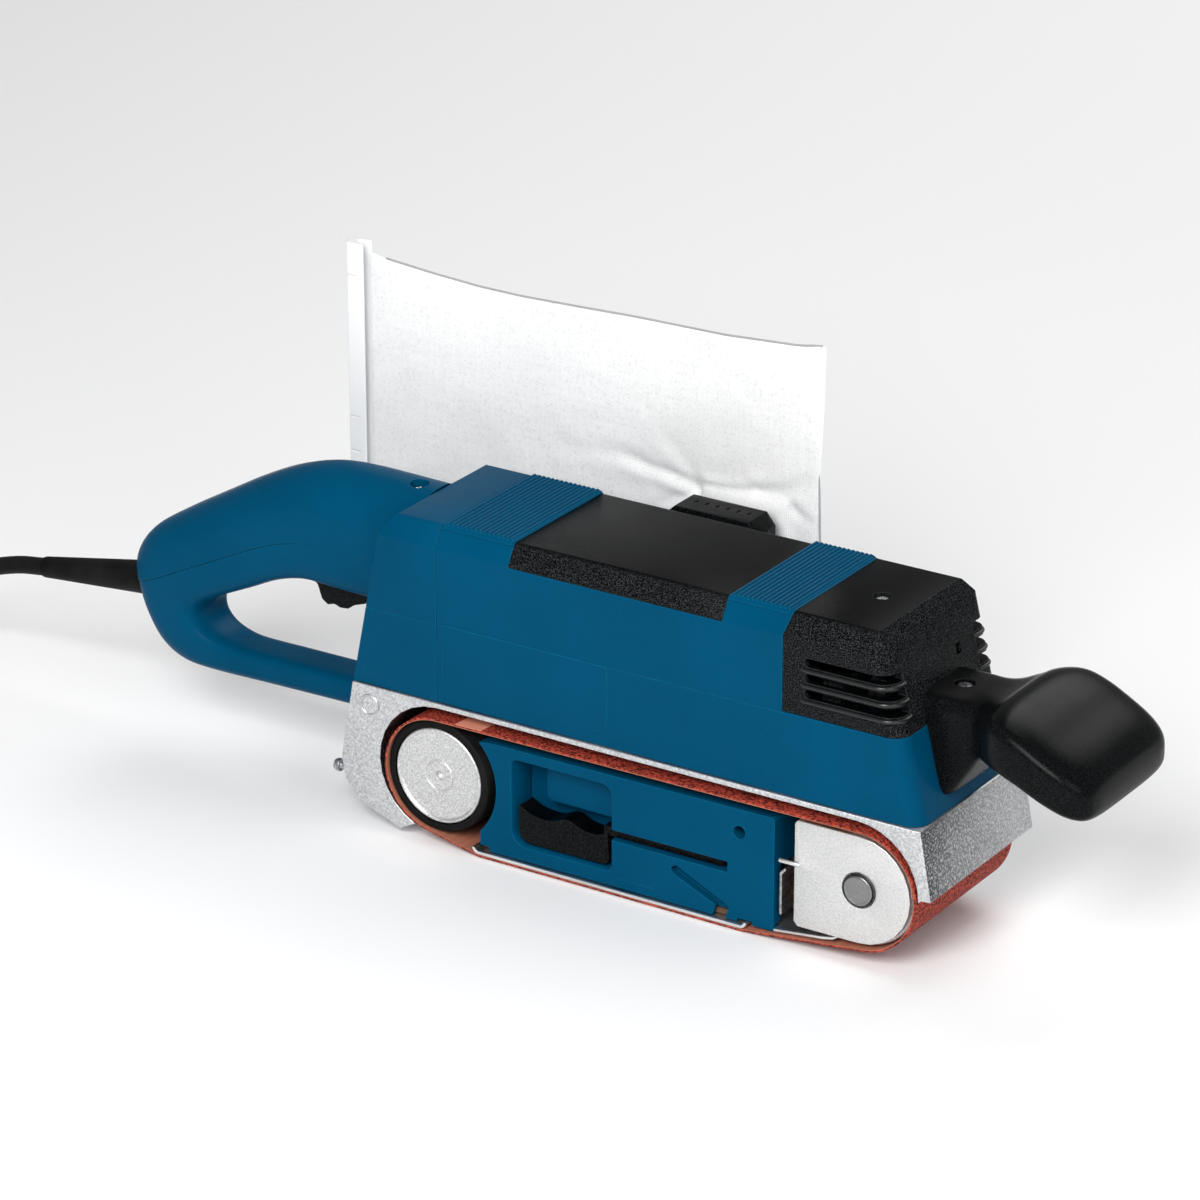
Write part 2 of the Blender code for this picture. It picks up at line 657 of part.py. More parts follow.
def grip_skin(inset, stations):
    """The looped grip, or its hollow when inset."""
    unit = oval(16, 2.6)
    rings = []
    for outer, inner, half in stations:
        o, i = Vector((outer[0], 0, outer[1])), Vector((inner[0], 0, inner[1]))
        middle, reach = (o + i) / 2, (o - i) / 2
        reach = reach * (1 - inset / reach.length)
        rings.append([middle + reach * u + Vector((0, (half - inset) * v, 0)) for u, v in unit])
    return loft(rings)


def parting(shift):
    """Region above the joint between the two handle shells."""
    line = [(-300, 63.0), (-262, 66.0), (-228, 82.0), (-177, 104.4), (-140, 103.4), (-60, 103.0)]
    lower = [(x, z + shift) for x, z in line]
    return prism("Y", lower + [(-60, 180), (-300, 180)], (-60, 60))


def body_room():
    """Everything ahead of the handle's front end: gear housing and casting."""
    outline = [(rear_face(Z_TOP) + 4.0 - GAP, 160), (rear_face(Z_TOP) + 4.0 - GAP, Z_TOP + GAP),
               (rear_face(Z_RIDGE) - GAP, Z_RIDGE), (rear_face(Z_DECK) - GAP, Z_DECK),
               (-137.8, 50), (-142.0, 27), (-142.0, 0), (0, 0), (0, 160)]
    return prism("Y", outline, (-60, 60))


def rear_handle():
    upper = common(grip_skin(0, GRIP), parting(GAP / 2))
    hollow = [((-100, 134.6), (-100, 85.4), 18.0)] + GRIP[1:9]
    cut(upper, grip_skin(3.0, hollow), body_room())
    screw_hole = rod("Z", (-126.5, -1.8, 133.0), 3.6, 12.0, 16)
    cut(upper, screw_hole, rod("X", (-263.0, 0, 63.4), 7.6, 24.0, 20))
    keep(upper, "handle_upper_shell", "blue_plastic")
    lower = cut(grip_skin(0, GRIP), parting(-GAP / 2))
    cut(lower, grip_skin(3.0, hollow), body_room())
    trigger_slot = block((-182.0, -145.0), (-6.0, 6.0), (70, 96))
    button_hole = rod("Y", (-168.0, 16.0, 95.0), 4.4, 16.0, 16)
    sleeve_hole = rod("X", (-263.0, 0, 63.4), 7.6, 24.0, 20)
    cut(lower, trigger_slot, button_hole, sleeve_hole)
    keep(lower, "handle_lower_shell", "blue_plastic")
    keep(rod("Z", (-126.5, -1.8, 131.5), 3.0, 3.0, 16), "handle_screw", "steel")


def controls():
    """Trigger, switch and lock-on button in the rear handle."""
    shape = [
        (-179.0, 93.0, 2), (-179.0, 83.4, 2), (-166.0, 76.2, 5),
        (-150.0, 77.6, 3), (-147.5, 93.0, 2),
    ]
    trigger = prism("Y", rounded(shape), (-5.6, 5.6))
    keep(pivot(trigger, (-150.0, 0, 90.5)), "trigger", "black_plastic")
    keep(block((-186.0, -146.0), (-8.0, 8.0), (97.4, 117.0), 1.0), "switch_module", "black_plastic")
    cap = [(0.0, 5.0), (3.3, 5.0), (4.0, 4.0), (4.0, -3.0), (0.0, -3.0)]
    button = turned("Y", (-168.0, 15.5, 95.0), cap, 16)
    keep(pivot(button, (-168.0, 15.5, 95.0)), "lock_on_button", "black_plastic")
    cut(bpy.data.objects["switch_module"], block((-172, -164), (5.0, 12.0), (80, 99.6)))


def front_handle():
    stations = [  # X, middle Z, half height, half width, boxiness
        (104.0, 85.6, 21.6, 17.6, 8), (120.0, 87.0, 20.2, 17.6, 8), (128.0, 91.8, 15.6, 17.8, 6),
        (134.0, 96.4, 11.8, 19.0, 5), (139.0, 98.4, 10.8, 26.0, 4.4), (145.0, 99.8, 11.4, 32.0, 4),
        (152.0, 99.4, 11.6, 35.2, 4), (160.0, 96.8, 11.6, 36.2, 4), (169.0, 92.6, 11.2, 36.4, 4),
        (178.0, 88.4, 10.6, 35.6, 4), (184.0, 86.0, 9.2, 33.0, 4), (187.0, 85.0, 6.6, 29.0, 4),
        (188.0, 84.8, 3.4, 24.0, 4),
    ]
    rings = []
    for x, z, high, wide, power in stations:
        rings.append([(x, wide * u, z + high * v) for u, v in oval(24, power)])
    obj = loft(rings)
    body = [(front_face(40) + GAP, 40), (front_face(140) + GAP, 140), (60, 140), (60, 40)]
    face = prism("Y", body, (-60, 60))
    cut(obj, face, rod("Z", (118.0, 0.0, 107.0), 3.8, 5.0, 16))
    keep(obj, "front_handle", "black_plastic")
    keep(rod("Z", (118.0, 0.0, 106.4), 3.2, 3.0, 16), "front_handle_screw", "steel")


# ---- motor and gears -----------------------------------------------------------------------------
def bevel(teeth, cone_deg, apex, axis, back, steps):
    """Straight bevel gear with wave-shaped teeth; its pitch cone opens from the apex along axis.

    back lists (radius, height) rings behind the teeth.  The last pair of a gear with a bore is
    its bore; a gear without one is solid.
    """
    cone, count = radians(cone_deg), teeth * steps
    length, face, wave, clear = 17.08, 5.5, 0.55, -0.35
    frame = {"X": ((1, 0, 0), (0, 1, 0), (0, 0, 1)), "Y": ((0, 1, 0), (1, 0, 0), (0, 0, 1))}[axis]
    along, right, up = (Vector(v) for v in frame)
    sign = 1 if axis == "X" else -1

    def circle(radius, height, lift=0.0):
        points = []
        for k in range(count):
            a = 2 * pi * k / count
            rise = clear + sign * lift * cos(teeth * a) if lift else 0.0
            r = radius + rise * cos(cone)
            points.append(apex + along * (height - rise * sin(cone)) + (right * cos(a) + up * sin(a)) * r)
        return points

    toe, heel = length - face, length
    rows = [circle(toe * sin(cone), toe * cos(cone), wave * toe / length),
            circle(heel * sin(cone), heel * cos(cone), wave)]
    rows += [circle(r, h) for r, h in back]
    return loft(rows, capped=axis == "X")


def motor():
    apex = Vector((APEX_X, 0, MOTOR_Z))
    low, high = MOTOR_Z - 31, MOTOR_Z + 31
    stack = rounded([(-31, low, 9), (31, low, 9), (31, high, 9), (-31, high, 9)])
    core = prism("X", stack, (-44.0, 12.0), [arc((0, MOTOR_Z), 18.5, 0, 360, 32)[:-1]])
    keep(core, "motor_stator", "steel")
    axis_at = (0, 0, MOTOR_Z)
    shaft_ends = (APEX_X + 19.6, 86.0)
    shaft = rod("X", (sum(shaft_ends) / 2, 0, MOTOR_Z), 3.5, shaft_ends[1] - shaft_ends[0], 16)
    keep(pivot(shaft, axis_at), "motor_shaft", "steel")
    keep(pivot(ring("X", (-16.0, 0, MOTOR_Z), 3.8, 17.6, 54.0, 24), axis_at), "armature_core", "copper")
    keep(pivot(ring("X", (38.0, 0, MOTOR_Z), 3.8, 11.0, 20.0, 24), axis_at), "commutator", "copper")
    hub = [(9.0, 5.0), (9.0, -3.0), (27.0, -3.0), (27.0, -5.0), (3.8, -5.0), (3.8, 5.0)]
    fan = turned("X", (-63.0, 0, MOTOR_Z), hub, 24)
    for k in range(8):
        blade = block((-66.5, -58.6), (8.0, 26.0), (MOTOR_Z - 0.7, MOTOR_Z + 0.7))
        up = Matrix.Translation(Vector((0, 0, MOTOR_Z * MM)))
        spin = Matrix.Rotation(2 * pi * (k + 0.5) / 8, 4, "X")
        blade.data.transform(up @ spin @ up.inverted())
        join(fan, blade)
    keep(pivot(fan, axis_at), "cooling_fan", "black_plastic")
    pinion = bevel(PINION_TEETH, 18.43, apex, "X", [(3.4, 16.9), (3.4, 19.3)], 6)
    keep(pivot(pinion, axis_at), "bevel_pinion", "steel")
    for name, x in (("motor_bearing_rear", APEX_X + 23.4), ("motor_bearing_front", 78.0)):
        keep(ring("X", (x, 0, MOTOR_Z), 3.8, 9.5, 7.0, 20), name, "steel")
    for name, side in (("brush_holder_near", -1), ("brush_holder_far", 1)):
        y = sorted((side * 11.6, side * 30.0))
        keep(block((33.0, 43.0), y, (MOTOR_Z - 4.5, MOTOR_Z + 4.5), 0.8), name, "brass")
    low, high = MOTOR_Z - 14, MOTOR_Z + 14
    frame = rounded([(-30, low, 4), (30, low, 4), (30, high, 4), (-30, high, 4)])
    seat = prism("X", frame, (74.5, 82.0), [arc((0, MOTOR_Z), 9.8, 0, 360, 24)[:-1]])
    keep(seat, "front_bearing_bridge", "black_plastic")

    cross_at = (APEX_X, 0, MOTOR_Z)
    gear = bevel(GEAR_TEETH, 71.57, apex, "Y", [(14.6, 8.0), (8.0, 11.5), (4.3, 11.5), (4.3, 4.6)], 4)
    keep(pivot(gear, cross_at), "bevel_gear", "steel")
    keep(pivot(rod("Y", (APEX_X, 27.2, MOTOR_Z), 4.0, 45.4, 16), cross_at), "cross_shaft", "steel")
    keep(ring("Y", (APEX_X, 26.0, MOTOR_Z), 4.3, 8.7, 14.0, 20), "cross_shaft_bearing", "steel")
    plate = (APEX_X + 17.0, APEX_X + 27.2)
    case = block(plate, (-30.0, 30.0), (72.0, 118.0), 2.0)
    arm = block((APEX_X - 12.0, plate[0] + 3.0), (14.0, 33.0), (84.0, 108.0), 2.0)
    join(case, arm)
    bearing_seat = rod("X", (APEX_X + 24.6, 0, MOTOR_Z), 9.8, 10.0, 24)
    shaft_bore = rod("X", (APEX_X + 18.0, 0, MOTOR_Z), 7.2, 20.0, 24)
    cross_bore = rod("Y", (APEX_X, 24.0, MOTOR_Z), 9.0, 30.0, 24)
    cut(case, bearing_seat, shaft_bore, cross_bore)
    keep(case, "gear_case", "cast_aluminium")


def lobed(radius, teeth, wave, steps):
    """Outline of a toothed pulley."""
    points = []
    for k in range(teeth * steps):
        a = 2 * pi * k / (teeth * steps)
        r = radius + wave * cos(teeth * a)
        points.append((r * cos(a), r * sin(a)))
    return points


def belt_drive():
    y0, y1 = PULLEY_Y
    small = [(APEX_X + u, MOTOR_Z + v) for u, v in lobed(SMALL_PULLEY_R, 12, 0.35, 4)]
    bore = arc((APEX_X, MOTOR_Z), 4.3, 0, 360, 16)[:-1]
    pulley = prism("Y", small, (y0, y1), [bore])
    keep(pivot(pulley, (APEX_X, 0, MOTOR_Z)), "drive_pulley", "steel")
    large = [(REAR[0] + u, REAR[1] + v) for u, v in lobed(LARGE_PULLEY_R, 32, 0.35, 4)]
    bore = arc(REAR, 5.3, 0, 360, 16)[:-1]
    pulley = prism("Y", large, (y0, y1), [bore])
    keep(pivot(pulley, (REAR[0], 0, REAR[1])), "driven_pulley", "black_plastic")

    def loop(out):
        points = arc((APEX_X, MOTOR_Z), SMALL_PULLEY_R + out, 0, 360, 20)[:-1]
        return hull(points + arc(REAR, LARGE_PULLEY_R + out, 0, 360, 36)[:-1])

    keep(prism("Y", loop(2.6), (y0, y1), [loop(0.7)]), "toothed_drive_belt", "black_rubber")
    cover = prism("Y", loop(6.4), (HALF_BODY + GAP, 52.0))
    casting_room = block((-160, -60), (20, WALL_Y[1] + GAP), (0, Z_DECK + GAP))
    cut(cover, prism("Y", loop(4.2), (20, 50.2)), casting_room)
    keep(cover, "drive_belt_cover", "blue_plastic")


# ---- dust bag ------------------------------------------------------------------------------------
BAG_LINE = [  # share of the bag's width, share of its fullness there
    (0.0, 0.0), (0.05, 0.35), (0.15, 0.75), (0.35, 1.0),
    (0.65, 1.0), (0.85, 0.8), (0.97, 0.4), (1.0, 0.1),
]
BAG_ROWS = [  # share of the bag's height, share of its fullness there
    (0.0, 0.12), (0.06, 0.5), (0.2, 0.85), (0.4, 1.0),
    (0.6, 1.0), (0.8, 0.85), (0.95, 0.5), (1.0, 0.12),
]


def dust():
    plan = [(-36.0, 36.4, 0), (-36.0, 42.0, 2), (-33.0, 45.0, 2), (-33.0, 50.6, 0), (5.0, 50.6, 0),
            (5.0, 45.0, 2), (8.0, 42.0, 2), (8.0, 36.4, 0)]
    port = prism("Z", rounded(plan, 2), (103.0, 133.2))
    cut(port, block((-29.0, 1.0), (20, 60), (106.5, 121.5)))
    keep(port, "dust_port", "black_plastic")
    rows = []
    for share, swell in BAG_ROWS:
        x0, x1 = -195.0, 20.5 - 5.0 * (1 - share)
        z = 60.0 + (201.0 - 60.0) * share
        row = []
        for side, line in ((-1, BAG_LINE), (1, BAG_LINE[::-1])):
            for t, bulge in line:
                row.append((x0 + (x1 - x0) * t, BAG_Y + side * swell * (1.0 + 6.4 * bulge), z))
        rows.append(row)
    bag = loft(rows)
    cut(bag, block((-34.0, 6.0), (40.0, 58.0), (102.0, 133.0)))
    keep(pivot(bag, (-14.0, BAG_Y, 118.0)), "dust_bag", "white_cloth")
    clip = [(-203.0, 58.4), (-195.4, 58.4), (-195.4, 59.9), (-199.6, 60.4), (-201.2, 62.0), (-199.6, 63.6),
            (-195.4, 64.1), (-195.4, 65.6), (-203.0, 65.6), (-204.8, 62.0)]
    keep(pivot(prism("Z", clip, (58.0, 203.6)), (-200.0, BAG_Y, 58.0)), "bag_slide_rail", "white_plastic")


# ---- cord ----------------------------------------------------------------------------------------
SLEEVE = ((-261.8, 63.6), (-319.0, 55.6))  # X and Z of the strain relief's ends
CORD_KNOTS = [
    (-319.4, 0.0, 55.5), (-334.0, 0.4, 53.0), (-352.0, 2.0, 46.6), (-372.0, 5.4, 35.0), (-392.0, 10.4, 20.6),
    (-404.0, 15.4, 11.6), (-414.0, 19.8, 6.6), (-424.0, 23.2, 4.3),
]


def cord():
    (x0, z0), (x1, z1) = SLEEVE
    length = hypot(x1 - x0, z1 - z0)
    profile = [(0.0, 0.0), (7.0, 0.0), (7.0, -6.0), (4.5, 1.5 - length), (4.1, -length), (0.0, -length)]
    sleeve = turned("Z", (0, 0, 0), profile, 20)
    turn = Vector((0, 0, -1)).rotation_difference(Vector((x1 - x0, 0, z1 - z0))).to_matrix().to_4x4()
    sleeve.data.transform(Matrix.Translation(Vector((x0, 0, z0)) * MM) @ turn)
    keep(sleeve, "cord_sleeve", "black_rubber")
    keep(tube(smooth_route(CORD_KNOTS, 12.0), CORD_R, 2), "cord_tube", "black_rubber")
    wide, half = (count * CORD_R for count in COIL_TURNS)
    mid = (*COIL_CENTRE, half)
    inner, outer = COIL_MID_R - wide, COIL_MID_R + wide
    wrap = [(outer - 2, half), (outer, half - 2), (outer, -half), (inner, -half), (inner, half - 2),
            (inner + 2, half)]
    keep(turned("Z", mid, wrap, 32), "cord_coil", "black_rubber")


def plug():
    y = COIL_CENTRE[1] - COIL_MID_R - 3 * CORD_R
    body = []
    for x, wide, high in ((0, 5.0, 5.0), (3, 6.0, 6.0), (9, 8.0, 8.0), (16, 14.0, 10.6), (26, 17.0, 12.4),
                          (38, 18.2, 13.0), (42, 18.2, 13.0), (43, 17.4, 12.2)):
        body.append([(PLUG_X + x, y + wide * u, 13.3 + high * v) for u, v in oval(20, 2.8)])
    obj = loft(body)
    for side in (-1, 1):
        pin = rod("X", (PLUG_X + 43 + 8.5, y + side * 9.5, 13.3), 2.3, 19.0, 12)
        join(obj, pin)
    keep(obj, "plug", "black_plastic")


for build_piece in (casting, sole, rollers, fork, side_plate, lever, main_housing, gear_housing, top_cover,
                    front_cap, rear_handle, controls, front_handle, motor, belt_drive, dust, cord, plug):
    build_piece()
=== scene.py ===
"""Looks of the handheld belt sander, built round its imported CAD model.

Sizes are in millimetres in the CAD model's frame: +X is the tool's front, +Y its left side,
+Z up, and the origin is the middle of the belt's working face.
"""

import json
from math import atan2, copysign, cos, exp, hypot, pi, radians, sin, tan

import bmesh
import bpy
from mathutils import Matrix, Vector, noise


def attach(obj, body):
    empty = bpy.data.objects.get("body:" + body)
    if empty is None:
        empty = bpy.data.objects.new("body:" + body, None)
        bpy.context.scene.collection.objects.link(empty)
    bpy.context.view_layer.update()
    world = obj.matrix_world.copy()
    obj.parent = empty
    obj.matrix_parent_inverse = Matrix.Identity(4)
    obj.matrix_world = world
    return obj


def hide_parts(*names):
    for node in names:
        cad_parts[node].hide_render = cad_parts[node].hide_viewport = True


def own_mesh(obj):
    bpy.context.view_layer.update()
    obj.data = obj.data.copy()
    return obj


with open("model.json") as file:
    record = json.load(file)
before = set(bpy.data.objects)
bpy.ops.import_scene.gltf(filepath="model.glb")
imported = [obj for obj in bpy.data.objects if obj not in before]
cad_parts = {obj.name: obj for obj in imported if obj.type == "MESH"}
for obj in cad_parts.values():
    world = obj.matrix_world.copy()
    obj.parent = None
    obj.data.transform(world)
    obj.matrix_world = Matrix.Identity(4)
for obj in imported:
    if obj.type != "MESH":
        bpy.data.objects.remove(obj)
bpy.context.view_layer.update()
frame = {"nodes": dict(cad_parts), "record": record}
body_of = {
    node: body
    for body, members in frame["record"]["behaviour"]["bodies"].items()
    for node in members
}
slot_of = {part["node"]: part["material_slot"] for part in frame["record"]["subparts"]}

MM = 0.001

# ---- sizes shared with the CAD model (mm) --------------------------------------------------------
REAR = (-95.5, 29.6)  # drive roller's axle, X and Z
FRONT = (95.5, 30.5)  # front roller's axle, X and Z
ROLLER_R = 23.5
SOLE_X = (-76.0, 44.0)  # ends of the flat sole
SOLE_Z = 1.3  # underside of the sole
SIDE = 36.0  # half width of the housings
TOP = 31.0  # half width of their flat top
Z_DECK = 61.3  # bottom of the housings
Z_RIDGE = 126.0  # where their sides start to slope inwards
Z_TOP = 134.3
SEAM_X = -95.6  # joint between the two housings
CAP_X = 60.3  # rear edge of the front cap
COVER_X = (-62.0, 33.6)  # ends of the top cover
MOTOR_Z = 96.0
APEX_X = -106.0  # where the axes of the motor and the cross shaft meet
BAG_Y = 62.0  # middle plane of the dust bag
CORD_R = 3.75
COIL_CENTRE = (-458.0, -30.0)
COIL_MID_R = 44.0
COIL_TURNS = (4, 2)


# ---- camera, light and floor ---------------------------------------------------------------------
def stage():
    scene = bpy.context.scene
    scene.view_settings.view_transform = "Standard"
    azimuth, elevation, distance = radians(32.84), radians(22.89), 2.0452
    target = Vector((-0.0435, 0.0, 0.1036))
    back = Vector((sin(azimuth) * cos(elevation), -cos(azimuth) * cos(elevation), sin(elevation)))
    camera = bpy.data.objects.new("camera", bpy.data.cameras.new("camera"))
    scene.collection.objects.link(camera)
    camera.data.lens = 158.4
    camera.data.sensor_width = 36.0
    camera.data.clip_end = 50.0
    camera.location = target + back * distance
    camera.rotation_euler = back.to_track_quat("Z", "Y").to_euler()
    scene.camera = camera

    world = bpy.data.worlds.new("studio")
    world.use_nodes = True
    shade = world.node_tree.nodes["Background"]
    shade.inputs["Color"].default_value = (1.0, 1.0, 1.0, 1.0)
    shade.inputs["Strength"].default_value = 0.32
    scene.world = world
    lamps = (  # place, aim, size, power
        ((0.3, -1.2, 1.0), (0.0, 0.0, 0.08), 0.7, 21.0),
        ((1.3, -0.7, 0.9), (0.05, 0.0, 0.05), 0.8, 6.0),
        ((-0.1, 0.8, 1.9), (-0.05, 0.0, 0.1), 0.9, 5.0),
        ((-0.2, 2.3, 1.9), (0.0, 1.7, 0.0), 1.6, 26.0),
    )
    for place, aim, size, power in lamps:
        lamp = bpy.data.lights.new("softbox", "AREA")
        lamp.size = size
        lamp.energy = power
        holder = bpy.data.objects.new("softbox", lamp)
        scene.collection.objects.link(holder)
        holder.location = place
        holder.rotation_euler = (Vector(place) - Vector(aim)).to_track_quat("Z", "Y").to_euler()

    bpy.ops.mesh.primitive_grid_add(x_subdivisions=2, y_subdivisions=2, size=12.0)
    floor = bpy.context.object
    floor.name = "floor"
    floor.location.z = -0.0004
    look, tree, shader = new_material("pale_floor")
    spread = add(tree, "TexNoise", {"Scale": 3.0, "Detail": 2.0})
    shader.inputs["Roughness"].default_value = 0.9
    tone = ramp(tree, spread.outputs["Fac"], (0.93, 0.93, 0.935), (0.96, 0.96, 0.96))
    tree.links.new(tone, shader.inputs["Base Color"])
    floor.data.materials.append(look)


# ---- materials -----------------------------------------------------------------------------------
def new_material(name):
    look = bpy.data.materials.new(name)
    look.use_nodes = True
    return look, look.node_tree, look.node_tree.nodes["Principled BSDF"]


def add(tree, kind, inputs=None, **settings):
    """Adds a shader node, with its inputs set to numbers or linked to sockets."""
    node = tree.nodes.new("ShaderNode" + kind)
    for key, value in settings.items():
        setattr(node, key, value)
    for key, value in (inputs or {}).items():
        if isinstance(value, bpy.types.NodeSocket):
            tree.links.new(value, node.inputs[key])
        else:
            node.inputs[key].default_value = value
    return node


def ramp(tree, factor, low, high, start=0.3, end=0.7):
    """Colour between low and high as a factor goes from start to end."""
    node = add(tree, "ValToRGB", {"Fac": factor})
    node.color_ramp.elements[0].position = start
    node.color_ramp.elements[0].color = (*low, 1.0)
    node.color_ramp.elements[1].position = end
    node.color_ramp.elements[1].color = (*high, 1.0)
    return node.outputs["Color"]


def level(tree, factor, low, high, start=0.0, end=1.0):
    """A number between low and high as a factor goes from start to end."""
    return add(tree, "MapRange", {"Value": factor, "From Min": start, "From Max": end,
                                  "To Min": low, "To Max": high}).outputs["Result"]


def mixed(tree, factor, a, b):
    node = add(tree, "Mix", data_type="RGBA")
    tree.links.new(factor, node.inputs["Factor"])
    for socket, value in ((node.inputs["A"], a), (node.inputs["B"], b)):
        if isinstance(value, bpy.types.NodeSocket):
            tree.links.new(value, socket)
        else:
            socket.default_value = (*value, 1.0)
    return node.outputs["Result"]


def rounding(tree, radius):
    """Normals of slightly rounded edges, and a mask of where those edges are."""
    soft = add(tree, "Bevel", {"Radius": radius}, samples=4)
    flat = add(tree, "NewGeometry").outputs["Normal"]
    match = add(tree, "VectorMath", {0: soft.outputs["Normal"], 1: flat}, operation="DOT_PRODUCT")
    return soft.outputs["Normal"], level(tree, match.outputs["Value"], 1.0, 0.0, 0.8, 0.995)


def grains(tree, scale, detail=2.0, stretch=None):
    """Noise over the object, with grains about 1 / scale metres across."""
    place = add(tree, "TexCoord").outputs["Object"]
    if stretch:
        place = add(tree, "Mapping", {"Vector": place, "Scale": stretch}).outputs["Vector"]
    return add(tree, "TexNoise", {"Vector": place, "Scale": scale, "Detail": detail}).outputs["Fac"]


def multiplied(tree, a, b):
    return add(tree, "Math", {0: a, 1: b}, operation="MULTIPLY").outputs["Value"]


def part_of(tree, output, axis):
    """One axis of a texture coordinate, such as the height or the upward share of the normal."""
    whole = add(tree, "TexCoord").outputs[output]
    return add(tree, "SeparateXYZ", {"Vector": whole}).outputs[axis]


def relief(tree, shader, depth, height, normal=None, strength=1.0):
    """Bumps of a depth in metres, on top of the rounded normals where there are any."""
    inputs = {"Strength": strength, "Distance": depth, "Height": height}
    if normal is not None:
        inputs["Normal"] = normal
    bump = add(tree, "Bump", inputs)
    tree.links.new(bump.outputs["Normal"], shader.inputs["Normal"])


def plastic(name, colour, edge, roughness, grain, depth, cloud=0.08, shine=0.5, sides=0.0):
    """Moulded plastic: eroded grain, faint clouding, a patchy painted highlight along its rounded
    edges, and light grain flecks painted on its sides as sparkle highlights.
    """
    look, tree, shader = new_material(name)
    clouds = grains(tree, 22.0, 4.0)
    normal, edges = rounding(tree, 0.0006)
    dark = [c * (1 - cloud) for c in colour]
    light = [c * (1 + cloud) for c in colour]
    tone = ramp(tree, clouds, dark, light)
    # painted sparkle highlights: light grain flecks in the edge colour, on side faces only and almost
    # none on flat tops
    if sides:
        fleck = level(tree, grains(tree, grain * 0.7, 3.0), 0.0, sides, 0.46, 0.64)
        slope = level(tree, part_of(tree, "Normal", "Z"), 1.0, 0.05, 0.75, 0.98)
        tone = mixed(tree, multiplied(tree, fleck, slope), tone, edge)
    # painted highlight: the edge colour is mixed in, in patches, along the rounded edges
    edge_highlight = multiplied(tree, edges, level(tree, grains(tree, 260.0, 3.0), 0.15, 0.75))
    tree.links.new(mixed(tree, edge_highlight, tone, edge), shader.inputs["Base Color"])
    sheen = level(tree, clouds, roughness - 0.05, roughness + 0.07, 0.3, 0.7)
    tree.links.new(sheen, shader.inputs["Roughness"])
    shader.inputs["Specular IOR Level"].default_value = shine
    relief(tree, shader, depth, grains(tree, grain), normal)
    return look


def metal(name, dark, light, roughness, grain, depth, stretch=None, fleck=0.35, front_shade=0.0):
    """Metal with grain or brush marks, a painted highlight along its rounded edges, and optionally
    painted shade on faces that point forwards, strongest on the near side.
    """
    look, tree, shader = new_material(name)
    fine = grains(tree, grain, 3.0, stretch)
    clouds = grains(tree, 30.0, 4.0)
    normal, edges = rounding(tree, 0.0005)
    tone = ramp(tree, fine, dark, light, 0.5 - fleck / 2, 0.5 + fleck / 2)
    # painted shade: faces that point forwards (+X) are darkened, most on the near side (-Y)
    if front_shade:
        ahead = level(tree, part_of(tree, "Normal", "X"), 0.0, front_shade, 0.6, 0.9)
        near = level(tree, part_of(tree, "Object", "Y"), 1.0, 0.3, -0.035, 0.03)
        shade_tone = ramp(tree, fine, (0.015, 0.017, 0.019), light, 0.46, 0.95)
        tone = mixed(tree, multiplied(tree, ahead, near), tone, shade_tone)
    # painted highlight: a brightened light colour mixed in along the rounded edges
    highlight_tone = [min(1.0, c * 1.15) for c in light]
    tree.links.new(mixed(tree, level(tree, edges, 0.0, 0.5), tone, highlight_tone),
                   shader.inputs["Base Color"])
    sheen = level(tree, clouds, roughness - 0.08, roughness + 0.1, 0.3, 0.7)
    tree.links.new(sheen, shader.inputs["Roughness"])
    shader.inputs["Metallic"].default_value = 1.0
    relief(tree, shader, depth, fine, normal)
    return look


def abrasive():
    """Aluminium oxide grit in resin: sharp red-brown grains with dark hollows."""
    look, tree, shader = new_material("abrasive_grit")
    place = add(tree, "TexCoord").outputs["Object"]
    cells = add(tree, "TexVoronoi", {"Vector": place, "Scale": 1250.0})
    spots = grains(tree, 900.0, 3.0)
    tone = ramp(tree, spots, (0.07, 0.008, 0.005), (0.55, 0.075, 0.045), 0.38, 0.62)
    tree.links.new(tone, shader.inputs["Base Color"])
    shader.inputs["Roughness"].default_value = 0.7
    shader.inputs["Specular IOR Level"].default_value = 0.2
    height = add(tree, "Math", {0: cells.outputs["Distance"], 1: spots}, operation="ADD")
    relief(tree, shader, 0.0005, height.outputs["Value"])
    return look


def woven(name, light, dark, thread, depth, sheen=0.0):
    """Plain weave: two crossed sets of threads, slubs and soft stains."""
    look, tree, shader = new_material(name)
    place = add(tree, "TexCoord").outputs["Object"]
    sets = []
    for axis, stretch in (("X", (1.0, 1.0, 0.12)), ("Z", (0.12, 1.0, 1.0))):
        bands = {"Vector": place, "Scale": thread, "Distortion": 1.2, "Detail": 2.0,
                 "Detail Scale": 0.6}
        wave = add(tree, "TexWave", bands, wave_type="BANDS", bands_direction=axis)
        slub = grains(tree, thread * 0.8, 2.0, stretch)
        sets.append(multiplied(tree, wave.outputs["Fac"], slub))
    weave = add(tree, "Math", {0: sets[0], 1: sets[1]}, operation="ADD").outputs["Value"]
    stains = grains(tree, 16.0, 5.0)
    flecks = grains(tree, thread * 1.6, 3.0)
    cloth = mixed(tree, level(tree, stains, 0.0, 0.3, 0.45, 0.75), light, dark)
    cloth = mixed(tree, level(tree, flecks, 0.0, 0.4, 0.52, 0.75), cloth, dark)
    threads = mixed(tree, level(tree, weave, 0.3, 0.0, 0.25, 0.8), cloth, dark)
    tree.links.new(threads, shader.inputs["Base Color"])
    shader.inputs["Roughness"].default_value = 0.92
    shader.inputs["Sheen Weight"].default_value = sheen
    relief(tree, shader, depth, weave, strength=0.8)
    return look


